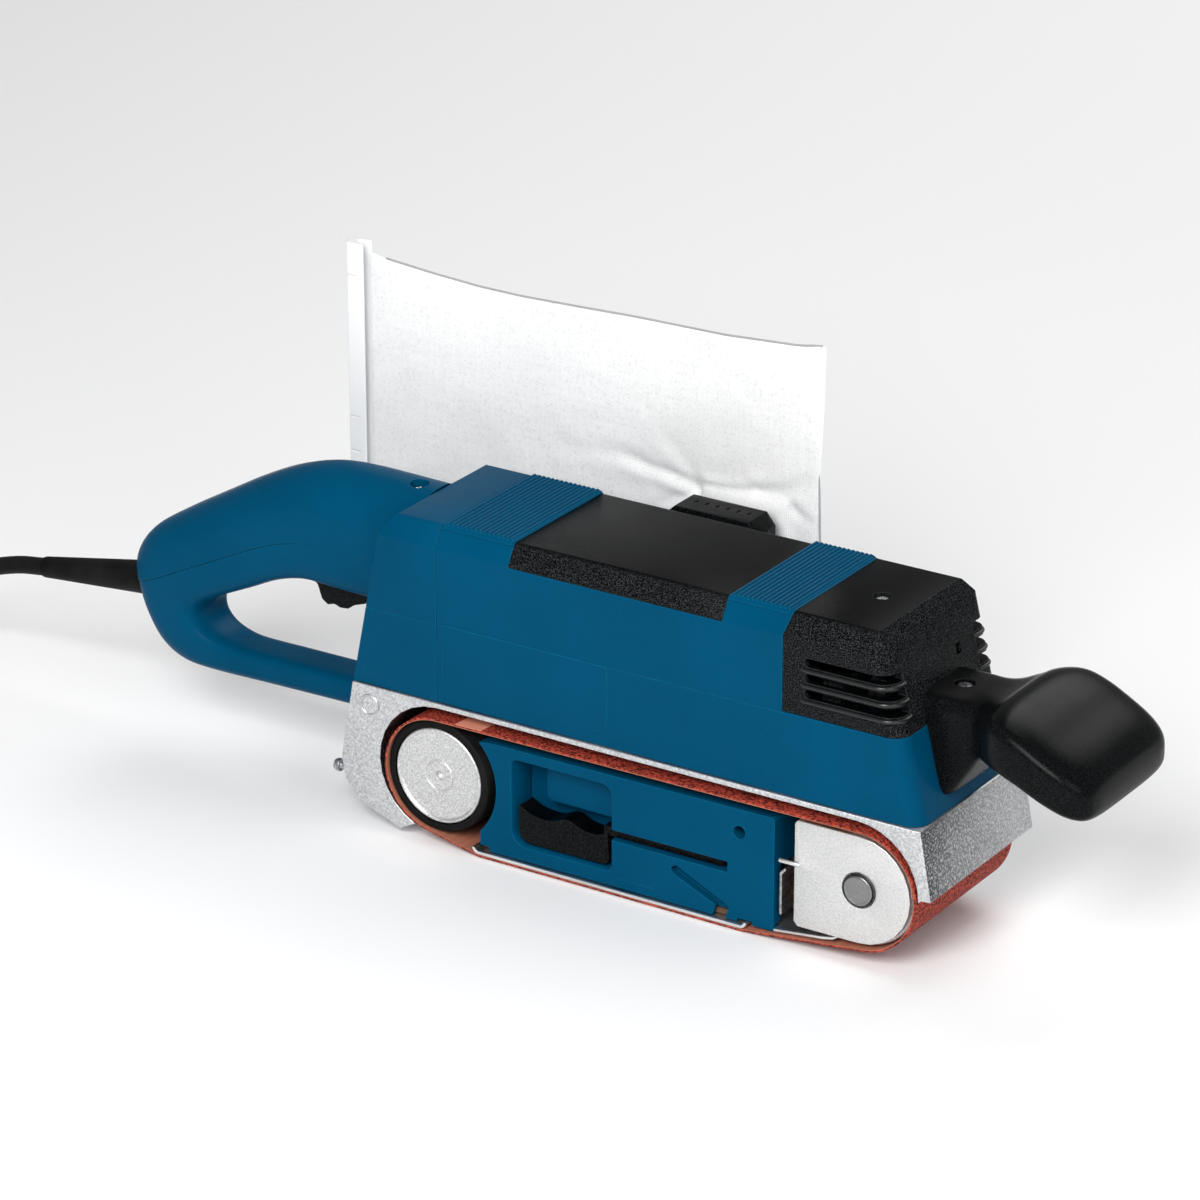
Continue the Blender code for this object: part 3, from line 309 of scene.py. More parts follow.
def rubber(name, colour, grain=700.0):
    """Matt rubber with a dusty bloom."""
    look, tree, shader = new_material(name)
    dust = grains(tree, 60.0, 6.0)
    normal, _ = rounding(tree, 0.0004)
    bloom = [c + 0.01 for c in colour]
    tree.links.new(ramp(tree, dust, colour, bloom, 0.4, 0.8), shader.inputs["Base Color"])
    shader.inputs["Specular IOR Level"].default_value = 0.12
    tree.links.new(level(tree, dust, 0.5, 0.75, 0.3, 0.7), shader.inputs["Roughness"])
    relief(tree, shader, 0.00006, grains(tree, grain), normal)
    return look


BLUE = (0.0, 0.059, 0.128)
BLACK = (0.0010, 0.0012, 0.0013)
# Each plastic's second colour and each metal's light colour are painted along rounded edges as
# highlights; plastics with sides set also get painted sparkle flecks on their sides, and the cast
# aluminium gets painted shade on its forward faces.
LOOKS = {
    "blue": plastic("blue_plastic", BLUE, (0.01, 0.20, 0.36), 0.30, 2600.0, 0.00002, shine=0.025),
    "black": plastic("grained_black", BLACK, (0.07, 0.077, 0.081), 0.22, 2900.0, 0.00005,
                     0.1, shine=0.025, sides=0.5),
    "smooth_black": plastic("smooth_black", BLACK, (0.04, 0.045, 0.048), 0.22, 3400.0, 0.00003,
                            0.1, shine=0.06, sides=0.25),
    "lip_black": plastic("polished_black", (0.004, 0.0045, 0.005), (0.12, 0.125, 0.13), 0.3, 2600.0,
                         0.00003, 0.1),
    "cork": plastic("pressed_cork", (0.10, 0.055, 0.025), (0.14, 0.09, 0.05), 0.85, 500.0, 0.0004,
                    0.25),
    "white": plastic("white_plastic", (0.82, 0.83, 0.84), (0.90, 0.90, 0.90), 0.35, 900.0, 0.00002,
                     0.03),
    "cast": metal("cast_aluminium", (0.42, 0.43, 0.44), (0.86, 0.87, 0.88), 0.42, 1100.0, 0.00008,
                  fleck=0.5, front_shade=0.9),
    "blasted": metal("blasted_aluminium", (0.5, 0.5, 0.5), (0.92, 0.92, 0.92), 0.5, 1500.0, 0.00008,
                     fleck=0.4),
    "zinc": metal("zinc_plate", (0.62, 0.62, 0.61), (0.88, 0.88, 0.87), 0.42, 1300.0, 0.00002,
                  fleck=0.5),
    "axle": metal("ground_steel", (0.20, 0.20, 0.20), (0.34, 0.34, 0.34), 0.3, 2600.0, 0.00001,
                  fleck=0.5),
    "steel": metal("brushed_steel", (0.62, 0.62, 0.62), (0.9, 0.9, 0.9), 0.34, 500.0, 0.00002,
                   (0.05, 1.0, 1.0)),
    "turned": metal("turned_steel", (0.3, 0.3, 0.31), (0.62, 0.62, 0.63), 0.3, 800.0, 0.00002),
    "dark_steel": metal("blackened_steel", (0.04, 0.04, 0.042), (0.12, 0.12, 0.125), 0.4, 800.0,
                        0.00003),
    "brass": metal("brass", (0.50, 0.34, 0.12), (0.80, 0.58, 0.25), 0.3, 700.0, 0.00002),
    "copper": metal("copper", (0.42, 0.15, 0.07), (0.80, 0.36, 0.20), 0.35, 900.0, 0.00006,
                    (0.05, 1.0, 1.0)),
    "grit": abrasive(),
    "belt_cloth": woven("belt_backing", (0.42, 0.15, 0.09), (0.22, 0.05, 0.025), 420.0, 0.00008),
    "bag_cloth": woven("bag_cotton", (0.93, 0.93, 0.925), (0.52, 0.53, 0.54), 520.0, 0.00012, 0.1),
    "seam": woven("seam_thread", (0.42, 0.43, 0.44), (0.25, 0.26, 0.27), 900.0, 0.0001),
    "splice": rubber("belt_splice", (0.66, 0.26, 0.17)),
    "rubber": rubber("black_rubber", (0.002, 0.002, 0.002)),
    "cord": rubber("cord_sheath", (0.005, 0.005, 0.005), 1200.0),
}
CARRIED = {  # CAD slot to look
    "blue_plastic": "blue", "black_plastic": "smooth_black", "cast_aluminium": "cast",
    "steel": "turned", "brass": "brass", "copper": "copper", "black_rubber": "rubber",
    "abrasive": "grit", "cork": "cork", "white_cloth": "bag_cloth", "white_plastic": "white",
}


# ---- shape helpers -------------------------------------------------------------------------------
TURN = {
    "X": Matrix(((0, 0, 1, 0), (1, 0, 0, 0), (0, 1, 0, 0), (0, 0, 0, 1))),
    "Y": Matrix(((1, 0, 0, 0), (0, 0, -1, 0), (0, 1, 0, 0), (0, 0, 0, 1))),
    "Z": Matrix.Identity(4),
}


def from_mesh(mesh):
    obj = bpy.data.objects.new("piece", mesh)
    bpy.context.scene.collection.objects.link(obj)
    return obj


def solid(build):
    """A new object from a bmesh, welded, with its faces pointing out."""
    bmesh.ops.remove_doubles(build, verts=build.verts, dist=1e-6)
    bmesh.ops.recalc_face_normals(build, faces=build.faces)
    mesh = bpy.data.meshes.new("piece")
    build.to_mesh(mesh)
    build.free()
    return from_mesh(mesh)


def baked(obj):
    """Replaces an object by the mesh that it evaluates to, in world space."""
    bpy.context.view_layer.update()
    view = obj.evaluated_get(bpy.context.evaluated_depsgraph_get())
    mesh = bpy.data.meshes.new_from_object(view)
    mesh.transform(obj.matrix_world)
    bpy.data.objects.remove(obj, do_unlink=True)
    build = bmesh.new()
    build.from_mesh(mesh)
    bpy.data.meshes.remove(mesh)
    return solid(build)


def boolean(obj, operation, others):
    for other in others:
        change = obj.modifiers.new(operation.lower(), "BOOLEAN")
        change.operation = operation
        change.object = other
    done = baked(obj)
    for other in others:
        bpy.data.objects.remove(other, do_unlink=True)
    return done


def carve(obj, *others):
    return boolean(obj, "DIFFERENCE", others)


def fuse(obj, *others):
    return boolean(obj, "UNION", others)


def common(obj, *others):
    return boolean(obj, "INTERSECT", others)


def soften(obj, width, segments=3, angle=35.0):
    """Rounds the edges that are sharper than an angle."""
    edge = obj.modifiers.new("edges", "BEVEL")
    edge.width = width * MM
    edge.segments = segments
    edge.limit_method = "ANGLE"
    edge.angle_limit = radians(angle)
    edge.miter_outer = "MITER_ARC"
    return baked(obj)


def block(x, y, z, bevel=0.0, segments=3):
    build = bmesh.new()
    bmesh.ops.create_cube(build, size=1.0)
    size = [(b - a) * MM for a, b in (x, y, z)]
    middle = [(a + b) / 2 * MM for a, b in (x, y, z)]
    place = Matrix.Translation(middle) @ Matrix.Diagonal((*size, 1.0))
    bmesh.ops.transform(build, matrix=place, verts=build.verts)
    obj = solid(build)
    return soften(obj, bevel, segments) if bevel else obj


def rod(axis, centre, radius, length, sides=48):
    h = length / 2
    return turned(axis, centre, [(0.0, h), (radius, h), (radius, -h), (0.0, -h)], sides)


def turned(axis, centre, profile, sides=64):
    """A profile of (radius, height) points, outer side downwards, turned about an axis."""
    build = bmesh.new()
    points = [build.verts.new((r * MM, 0.0, h * MM)) for r, h in profile]
    for a, b in zip(points, points[1:]):
        build.edges.new((a, b))
    if profile[0][0] > 0:
        build.edges.new((points[-1], points[0]))
    mesh = bpy.data.meshes.new("profile")
    build.to_mesh(mesh)
    build.free()
    obj = from_mesh(mesh)
    spin = obj.modifiers.new("turn", "SCREW")
    spin.steps = spin.render_steps = sides
    spin.use_merge_vertices = True
    spin.merge_threshold = 0.000001
    turn = Matrix.Rotation(-pi / 2, 4, "X") if axis == "Y" else TURN[axis]
    obj.matrix_world = Matrix.Translation(Vector(centre) * MM) @ turn
    return baked(obj)


def prism(axis, outline, span, holes=()):
    """A flat outline, with any holes, extruded over a span along an axis."""
    curve = bpy.data.curves.new("outline", "CURVE")
    curve.dimensions = "2D"
    curve.fill_mode = "BOTH"
    curve.extrude = abs(span[1] - span[0]) / 2 * MM
    for loop in (outline, *holes):
        line = curve.splines.new("POLY")
        line.points.add(len(loop) - 1)
        for point, (u, v) in zip(line.points, loop):
            point.co = (u * MM, v * MM, 0.0, 1.0)
        line.use_cyclic_u = True
    obj = bpy.data.objects.new("outline", curve)
    bpy.context.scene.collection.objects.link(obj)
    middle = (span[0] + span[1]) / 2 * MM
    along = {"X": (middle, 0, 0), "Y": (0, middle, 0), "Z": (0, 0, middle)}[axis]
    obj.matrix_world = Matrix.Translation(along) @ TURN[axis]
    return baked(obj)


def arc(centre, radius, start, end, steps):
    angles = [radians(start + (end - start) * i / steps) for i in range(steps + 1)]
    return [(centre[0] + radius * cos(a), centre[1] + radius * sin(a)) for a in angles]


def rounded(corners, steps=6):
    """An outline of (u, v, radius) corners, with each corner turned into an arc."""
    points = []
    for i, (u, v, radius) in enumerate(corners):
        here = Vector((u, v))
        back = (Vector(corners[i - 1][:2]) - here).normalized()
        on = (Vector(corners[(i + 1) % len(corners)][:2]) - here).normalized()
        half = back.angle(on) / 2
        if radius < 0.05 or abs(half - pi / 2) < 0.02:
            points.append((u, v))
            continue
        middle = here + (back + on).normalized() * radius / sin(half)
        start = here + back * radius / tan(half) - middle
        turn = start.angle_signed(here + on * radius / tan(half) - middle)
        a = atan2(start.y, start.x)
        for k in range(steps + 1):
            b = a - turn * k / steps
            points.append((middle.x + radius * cos(b), middle.y + radius * sin(b)))
    return points


def hull(points):
    """The convex outline round flat points, anticlockwise."""
    points = sorted(set((round(u, 6), round(v, 6)) for u, v in points))

    def half(line):
        found = []
        for p in line:
            while len(found) > 1 and (
                (found[-1][0] - found[-2][0]) * (p[1] - found[-2][1])
                - (found[-1][1] - found[-2][1]) * (p[0] - found[-2][0])
            ) <= 1e-9:
                found.pop()
            found.append(p)
        return found[:-1]

    return half(points) + half(points[::-1])


def loft(rings, capped=True):
    """A skin over rings of points in mm, each ring with the same number of points."""
    build = bmesh.new()
    rows = [[build.verts.new(Vector(p) * MM) for p in points] for points in rings]
    count = len(rows[0])
    pairs = list(zip(rows, rows[1:]))
    if not capped:
        pairs.append((rows[-1], rows[0]))
    for low, high in pairs:
        for i in range(count):
            j = (i + 1) % count
            build.faces.new((low[i], low[j], high[j], high[i]))
    if capped:
        build.faces.new(rows[0][::-1])
        build.faces.new(rows[-1])
    return solid(build)


def smooth_route(knots, parts):
    """Points on a smooth curve through the knots, with some parts between each two."""
    knots = [Vector(k) for k in knots]
    ends = [2 * knots[0] - knots[1], *knots, 2 * knots[-1] - knots[-2]]
    route = []
    for a, b, c, d in zip(ends, ends[1:], ends[2:], ends[3:]):
        for k in range(parts):
            t = k / parts
            route.append(0.5 * (2 * b + (c - a) * t + (2 * a - 5 * b + 4 * c - d) * t**2
                                + (3 * b - a - 3 * c + d) * t**3))
    return route + [knots[-1]]


def tube(points, radius, sides=6, closed=False):
    """A round bar along points in mm, left as a curve."""
    curve = bpy.data.curves.new("path", "CURVE")
    curve.dimensions = "3D"
    curve.bevel_depth = radius * MM
    curve.bevel_resolution = sides
    curve.use_fill_caps = True
    line = curve.splines.new("POLY")
    line.points.add(len(points) - 1)
    for point, place in zip(line.points, points):
        point.co = (*[v * MM for v in place], 1.0)
    line.use_cyclic_u = closed
    obj = bpy.data.objects.new("path", curve)
    bpy.context.scene.collection.objects.link(obj)
    return obj


def boxy(k, count, power, back=None):
    """Point k round a rounded box of half size 1; higher powers are squarer, back is for u < 0."""
    a = 2 * pi * (k + 0.5) / count
    u, v = cos(a), sin(a)
    share = 2 / (back if back and u < 0 else power)
    return copysign(abs(u) ** share, u), copysign(abs(v) ** share, v)


def show(obj, name, look, *stands_for, rides="tool_body", angle=38.0):
    """Names a piece, gives it its look, ties it to a body, and hides the CAD nodes it stands for."""
    obj.name = name
    obj.data.name = name
    obj.data.materials.clear()
    obj.data.materials.append(LOOKS[look])
    if obj.type == "MESH":
        obj.data.shade_smooth()
        obj.data.set_sharp_from_angle(angle=radians(angle))
    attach(obj, body_of[stands_for[0]] if stands_for else rides)
    if stands_for:
        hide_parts(*stands_for)
    return obj


def refined(node, look, width=0.4, segments=2):
    """A CAD node's own shape with its flat faces merged and its edges rounded."""
    build = bmesh.new()
    build.from_mesh(frame["nodes"][node].data)
    bmesh.ops.remove_doubles(build, verts=build.verts, dist=2e-6)
    bmesh.ops.dissolve_limit(build, angle_limit=radians(1.0), verts=build.verts, edges=build.edges)
    obj = soften(solid(build), width, segments)
    return show(obj, node + "_shape", look, node)


def screw(name, axis, centre, radius, look="turned", *stands_for):
    """Domed screw head with a cross recess; centre is the middle of its top."""
    out = {"Y": Vector((0, 1, 0)), "-Y": Vector((0, -1, 0)), "Z": Vector((0, 0, 1))}[axis]
    dome = [(0.0, 0.0), (radius * 0.55, -0.1), (radius * 0.85, -0.35), (radius, -0.9),
            (radius, -2.2), (0.0, -2.2)]
    head = turned("Z", (0, 0, 0), dome, 40)
    a, b = radius * 0.62, radius * 0.15
    cross = fuse(block((-a, a), (-b, b), (-1.1, 0.6)), block((-b, b), (-a, a), (-1.1, 0.6)))
    head = carve(head, cross)
    turn = Vector((0, 0, 1)).rotation_difference(out).to_matrix().to_4x4()
    head.data.transform(Matrix.Translation(Vector(centre) * MM) @ turn @ Matrix.Rotation(0.5, 4, "Z"))
    return show(head, name, look, *stands_for)


# ---- cord ----------------------------------------------------------------------------------------
def cord():
    """Cord from the strain relief to a coil on the floor, with its plug."""
    xc, yc = COIL_CENTRE
    across, high = COIL_TURNS
    free = smooth_route([
        (-319.0, 0.0, 55.6), (-334.0, 0.4, 53.0), (-352.0, 2.0, 46.6), (-372.0, 5.4, 35.0),
        (-392.0, 10.4, 20.6), (-404.0, 15.4, 11.6), (-414.0, 19.8, 6.6), (-424.0, 23.2, 4.3),
        (-440.0, 25.0, 3.85),
    ], 4)
    points = [Vector(p) for p in free]
    radii = [COIL_MID_R + (across - 1 - 2 * k) * CORD_R for k in range(across)]
    turns = []
    for h in range(high):
        turns += [(r, CORD_R * (2 * h + 1)) for r in (radii if h % 2 == 0 else radii[::-1])]
    per = 36
    for k, (r, z) in enumerate(turns):
        r2, z2 = turns[k + 1] if k + 1 < len(turns) else (r, z)
        for i in range(per):
            t = min(1.0, max(0.0, (i / per - 0.72) / 0.28))
            t = t * t * (3 - 2 * t)
            a = radians(90 + 360 * i / per)
            reach = r + (r2 - r) * t
            points.append(Vector((xc + reach * cos(a), yc + reach * sin(a), z + (z2 - z) * t)))
    r, z = turns[-1]
    for i in range(19):
        a = radians(90 + 10 * i)
        points.append(Vector((xc + r * cos(a), yc + r * sin(a), z + 2.0 * i / 18)))
    y = points[-1].y
    points += [Vector((xc + dx, y, 13.3)) for dx in (12.0, 24.0, 33.5)]
    flex = tube(points, CORD_R, 6)
    show(flex, "mains_cord", "cord", "cord_tube", "cord_coil")

    sleeve_from, sleeve_to = Vector((-261.8, 0, 63.6)), Vector((-319.0, 0, 55.6))
    long = (sleeve_to - sleeve_from).length
    profile = [(0.0, 0.0), (6.6, 0.0), (7.0, -0.5), (7.0, -5.5), (6.9, -6.5)]
    profile += [(6.9 - 2.4 * t, -6.5 - (long - 9.0) * t) for t in (0.2, 0.4, 0.6, 0.8, 0.97)]
    profile += [(4.45, -long + 1.4), (4.25, -long + 0.5), (4.0, -long), (0.0, -long)]
    sleeve = turned("Z", (0, 0, 0), profile, 48)
    turn = Vector((0, 0, -1)).rotation_difference(sleeve_to - sleeve_from).to_matrix().to_4x4()
    sleeve.data.transform(Matrix.Translation(sleeve_from * MM) @ turn)
    show(sleeve, "strain_relief", "rubber", "cord_sleeve")

    plug = plug_body(xc + 34.0, y)
    for k, a in enumerate((radians(200), radians(330))):
        ring = rounded([(-15.8, -0.2, 2), (15.8, -0.2, 2), (15.8, 15.6, 3), (-15.8, 15.6, 3)], 4)
        spot = Vector((xc + COIL_MID_R * cos(a), yc + COIL_MID_R * sin(a), 0))
        out = Vector((cos(a), sin(a), 0))
        path = [spot + out * u + Vector((0, 0, max(0.9, v))) for u, v in ring]
        tie = tube(path, 0.8, 2, True)
        show(tie, "cord_tie_%d" % k, "smooth_black")


def plug_body(x0, y):
    """Moulded two-pin plug with a ribbed grip."""
    axis_z, pin_gap = 13.3, 9.5
    rings = []
    stations = ((0, 5, 5), (1, 5.4, 5.4), (5, 5.8, 5.8), (9, 8, 8), (14, 12.6, 10), (18, 14.8, 10.9),
                (26, 17, 12.2), (33, 17.9, 12.8), (40, 18.2, 13), (42.2, 18, 12.8), (43, 17.2, 12))
    for p in smooth_route([(x, w, h) for x, w, h in stations], 4):
        groove = 0.5 if 16 < p.x < 33 and (p.x * 10) % 36 < 16 else 0.0
        ring = []
        for k in range(48):
            u, v = boxy(k, 48, 2.8)
            ring.append((x0 + p.x, y + (p.y - groove) * u, axis_z + (p.z - groove) * v))
        rings.append(ring)
    body = show(loft(rings), "plug_body", "smooth_black", "plug", angle=60)
    pin = [(0.0, 9.5), (1.6, 9.5), (2.2, 8.6), (2.3, 7.6), (2.3, -9.5), (0.0, -9.5)]
    for side in (-1, 1):
        made = turned("X", (x0 + 43 + 9.4, y + side * pin_gap, axis_z), pin, 32)
        made = show(made, "plug_pin_%d" % (side + 2), "brass")
        made.parent = body
        made.matrix_parent_inverse = Matrix.Identity(4)
    return body


# ---- housings ------------------------------------------------------------------------------------
def front_face(z):
    return 120.5 - 0.25 * (z - 61.0)


def rear_face(z):
    return -135.8 + 0.2 * (z - 61.0)


def body_section(inset=0.0, low=Z_DECK, ridge=2.2, top=1.8):
    """Cross-section of the housings, with softened long edges."""
    side, half = SIDE - inset, TOP - inset * 0.8
    z1, z2 = Z_RIDGE - inset * 0.3, Z_TOP - inset
    return rounded([(-side, low, 0.4), (side, low, 0.4), (side, z1, ridge), (half, z2, top),
                    (-half, z2, top), (-side, z1, ridge)], 5)


def front_trim(inset=0.0):
    """Solid behind the sloping, round-cornered front face."""
    rings = []
    side = SIDE - inset
    for z in (30.0, 160.0):
        x1 = front_face(z) - inset
        plan = rounded([(-200.0, -side, 0), (x1, -side, 7.5), (x1, side, 4.5), (-200.0, side, 0)], 8)
        rings.append([(x, y, z) for x, y in plan])
    return loft(rings)


def rib_comb(name, x0, count, pitch):
    """Band of rounded cross ribs with slanted ends."""
    low, flat, x1 = Z_TOP - 1.2, Z_TOP + 0.25, x0 + count * pitch + 0.1
    wave = ((0.06, 0.25), (0.2, 0.85), (0.36, 1.08), (0.54, 1.08), (0.7, 0.85), (0.84, 0.25))
    outline = [(x0 - 0.4, low), (x0 - 0.4, flat)]
    outline += [(x0 + (k + t) * pitch, Z_TOP + h) for k in range(count) for t, h in wave]
    comb = prism("Y", outline + [(x1, flat), (x1, low)], (-40, 40))
    end = [(TOP + 2.2, Z_TOP - 2.6), (TOP + 0.6, Z_TOP - 0.2), (TOP - 0.9, Z_TOP + 1.3)]
    ends = [(-TOP - 2.2, Z_TOP - 2.6), *end, (-TOP + 0.9, Z_TOP + 1.3), (-TOP - 0.6, Z_TOP - 0.2)]
    show(common(comb, prism("X", ends, (x0 - 3, x0 + count * pitch + 3))), name, "blue")


def side_groove(side, x, z):
    """A bar that cuts a fine line along one side of a housing."""
    return block(x, sorted((side * (SIDE - 0.25), side * (SIDE + 2))), (z, z + 0.4))


def main_housing():
    obj = common(prism("X", body_section(), (SEAM_X, 130.0)), front_trim())
    inner = prism("X", body_section(2.5, Z_DECK - 5), (SEAM_X - 5, 135.0))
    inner = common(inner, front_trim(2.5))
    cap_room = prism("Y", [(CAP_X, 95.0), (160, 95.0), (160, 160), (62.2, 160), (62.2, Z_TOP),
                           (CAP_X, Z_RIDGE)], (-60, 60))
    cover_room = block((COVER_X[0] - 0.3, COVER_X[1] + 0.3), (-60, 60), (Z_RIDGE - 0.8, 160))
    obj = carve(obj, inner, cap_room, cover_room)
    panel = rounded([(-93.2, 67.2, 4), (-17.2, 67.2, 4), (-17.2, 94.4, 1), (-93.2, 94.4, 1)])
    obj = fuse(obj, prism("Y", panel, (-SIDE - 0.22, -SIDE + 1)))
    for side, start in ((-1, -16.4), (1, SEAM_X + 0.5)):
        obj = carve(obj, side_groove(side, (start, CAP_X + 1), 94.6))
    show(obj, "housing_shell", "blue", "main_housing")
    rib_comb("rear_rib_band", -94.6, 15, 2.1)
    rib_comb("front_rib_band", 34.6, 13, 2.0)


def gear_housing():
    x1 = SEAM_X - 0.3
    profile = rounded([(x1, Z_DECK, 0.3), (x1, Z_TOP, 0.5), (rear_face(Z_TOP) + 4.0, Z_TOP, 1.5),
                       (rear_face(Z_RIDGE), Z_RIDGE, 1.5), (rear_face(61.0), Z_DECK, 0.4)], 4)
    obj = prism("Y", profile, (-50, 50))
    obj = soften(common(obj, prism("X", body_section(0.0, 56), (-150, 0))), 1.1, 3, 50)
    inside = [(0, 40), (0, 131.6), (-119.8, 131.6), (-120.2, 125), (-133.4, 40)]
    inner = prism("Y", inside, (-60, 60))
    inner = common(inner, prism("X", body_section(2.5, 30), (-160, 10)))
    handle_hole = block((-150, -118), (-9, 9), (92, 112))
    wheel_slot = block((-120.0, -100.0), (30.0, 44.0), (118.4, 123.6), 0.8)
    shaft_hole = rod("Y", (APEX_X, 36.0, MOTOR_Z), 9.0, 20.0)
    obj = carve(obj, inner, handle_hole, wheel_slot, shaft_hole)
    for side in (-1, 1):
        obj = carve(obj, side_groove(side, (-140, x1 - 0.5), 93.6))
    show(obj, "gear_housing_shell", "blue", "gear_housing")
    knurl = []
    for k in range(96):
        a, r = 2 * pi * k / 96, 8.4 if k % 4 < 2 else 8.05
        knurl.append((-110.0 + r * cos(a), 29.0 + r * sin(a)))
    wheel = soften(prism("Z", knurl, (119.1, 122.9)), 0.3, 2, 60)
    show(wheel, "speed_wheel_knurled", "smooth_black", "speed_wheel")


def top_cover():
    low = Z_RIDGE - 0.5
    out = [(-SIDE, low, 0), (-SIDE, Z_RIDGE, 1.2), (-TOP, Z_TOP - 0.3, 3.0), (TOP, Z_TOP - 0.3, 3.0),
           (SIDE, Z_RIDGE, 1.2), (SIDE, low, 0), (SIDE - 3, low, 0), (TOP - 2, Z_TOP - 2.6, 0),
           (-TOP + 2, Z_TOP - 2.6, 0), (-SIDE + 3, low, 0)]
    obj = soften(prism("X", rounded(out, 6), COVER_X), 0.5, 2, 60)
    show(obj, "grained_top_cover", "black", "top_cover")


def front_cap():
    x0 = CAP_X + 0.3
    z0 = 95.3
    obj = common(prism("X", body_section(0.0, z0, 3.0, 2.5), (x0, 135.0)), front_trim())
    trim = rounded([(x0, 0, 0), (x0, Z_RIDGE, 0.5), (62.5, Z_TOP, 1.0), (62.5, 160, 0),
                    (97.8, 160, 0),
                    (97.8, Z_TOP, 3.5), (front_face(127.0) + 0.4, 127.0, 2.5), (145, 0, 0)], 4)
    obj = soften(common(obj, prism("Y", trim, (-60, 60))), 0.7, 3, 30)
    inside = [(x0 - 8, 0), (x0 - 8, 131.6), (95.6, 131.6), (100.2, 125.0), (133, 0)]
    inner = common(prism("X", body_section(2.5, z0 - 5), (x0 - 5, 140.0)), front_trim(2.5),
                   prism("Y", inside, (-60, 60)))
    obj = carve(obj, inner)
    for z in (117.3, 111.0, 104.7):
        slot = [(70.0, z - 1.75, 1.7), (130.0, z - 1.75, 0), (130.0, z + 1.75, 0),
                (70.0, z + 1.75, 1.7)]
        for y in ((-50, -26.5), (26.5, 50)):
            obj = carve(obj, prism("Y", rounded(slot), y))
    window = block((98, 112), (12.0, 16.4), (111.5, 116.0), 0.4)
    obj = carve(obj, rod("Z", (82.3, -0.5, Z_TOP), 3.5, 4.0), window)
    show(obj, "front_cap_shell", "black", "front_cap")
    places = [(z, side) for z in (114.15, 107.85, 101.6) for side in (-1, 1)]
    for k, (z, side) in enumerate(places):
        corner, out, thick = (7.5, 0.25, 0.95) if side < 0 else (4.5, -0.35, 0.7)
        x1, y1 = front_face(z) + 0.25, side * (SIDE + out)
        path = [(68.6, side * (SIDE - 0.9)), (70.4, y1), (85.0, y1)]
        path += arc((x1 - corner, y1 - side * corner), corner, side * 90, 0, 10)
        path += [(x1, side * 27.2), (x1 - 1.2, side * 25.6)]
        show(tube([(x, y, z) for x, y in path], thick, 4), "vent_lip_%d" % k, "lip_black")
    screw("cap_screw_head", "Z", (82.3, -0.5, 133.3), 2.9, "turned", "cap_screw")


# ---- handles -------------------------------------------------------------------------------------
GRIP = [  # outer edge, inner edge (both X, Z) and half width
    ((-116, 135.0), (-116, 84.6), 18.0),
    ((-150, 135.6), (-148, 84.4), 18.0),
    ((-168, 134.4), (-163, 84.8), 18.0),
    ((-185, 129.8), (-176, 85.2), 18.0),
    ((-202, 122.2), (-190, 81.8), 18.0),
    ((-222, 110.9), (-205, 74.8), 18.0),
    ((-242, 99.2), (-219, 68.4), 18.0),
    ((-257, 89.0), (-227.5, 63.8), 17.5),
    ((-264.5, 77.4), (-231.0, 59.8), 16.5),
    ((-264.0, 63.8), (-231.6, 56.0), 15.5),
    ((-259.5, 50.4), (-229.6, 52.0), 14.5),
    ((-253.5, 40.0), (-223.6, 48.8), 13.0),
    ((-244, 33.6), (-214, 47.0), 11.5),
    ((-229, 32.0), (-204, 46.8), 11.0),
    ((-200, 32.4), (-190, 47.0), 11.0),
    ((-160, 33.0), (-160, 47.2), 11.0),
    ((-126, 33.2), (-126, 47.6), 11.0),
]


def grip_skin(inset, stations, parts=4, count=56):
    """The looped grip: round on its outside, with a squarer inside."""
    fine_out = smooth_route([(*s[0], s[2]) for s in stations], parts)
    fine_in = smooth_route([(*s[1], 0.0) for s in stations], parts)
    rings = []
    for o, i in zip(fine_out, fine_in):
        outer, inner = Vector((o.x, 0, o.y)), Vector((i.x, 0, i.y))
        middle, reach = (outer + inner) / 2, (outer - inner) / 2
        reach = reach * (1 - inset / reach.length)
        around = [boxy(k, count, 2.35, 4.2) for k in range(count)]
        rings.append([middle + reach * u + Vector((0, (o.z - inset) * v, 0)) for u, v in around])
    return loft(rings)


def parting(shift):
    """Region above the joint between the two handle shells."""
    line = smooth_route([(-300, 60.0, 0), (-262, 66.5, 0), (-228, 82.0, 0), (-196, 97.4, 0),
                         (-178, 103.4, 0), (-164, 104.6, 0), (-140, 103.6, 0), (-60, 102.0, 0)], 5)
    return prism("Y", [(p.x, p.y + shift) for p in line] + [(-60, 180), (-300, 180)], (-60, 60))


def body_room():
    """Everything ahead of the rear handle's front end."""
    back = rear_face(Z_TOP) + 3.7
    outline = [(back, 160), (back, Z_TOP + 0.3), (rear_face(Z_RIDGE) - 0.3, Z_RIDGE),
               (rear_face(61.0) - 0.3, 61), (-137.8, 50), (-142.0, 27), (-142.0, 0), (0, 0), (0, 160)]
    return prism("Y", outline, (-60, 60))


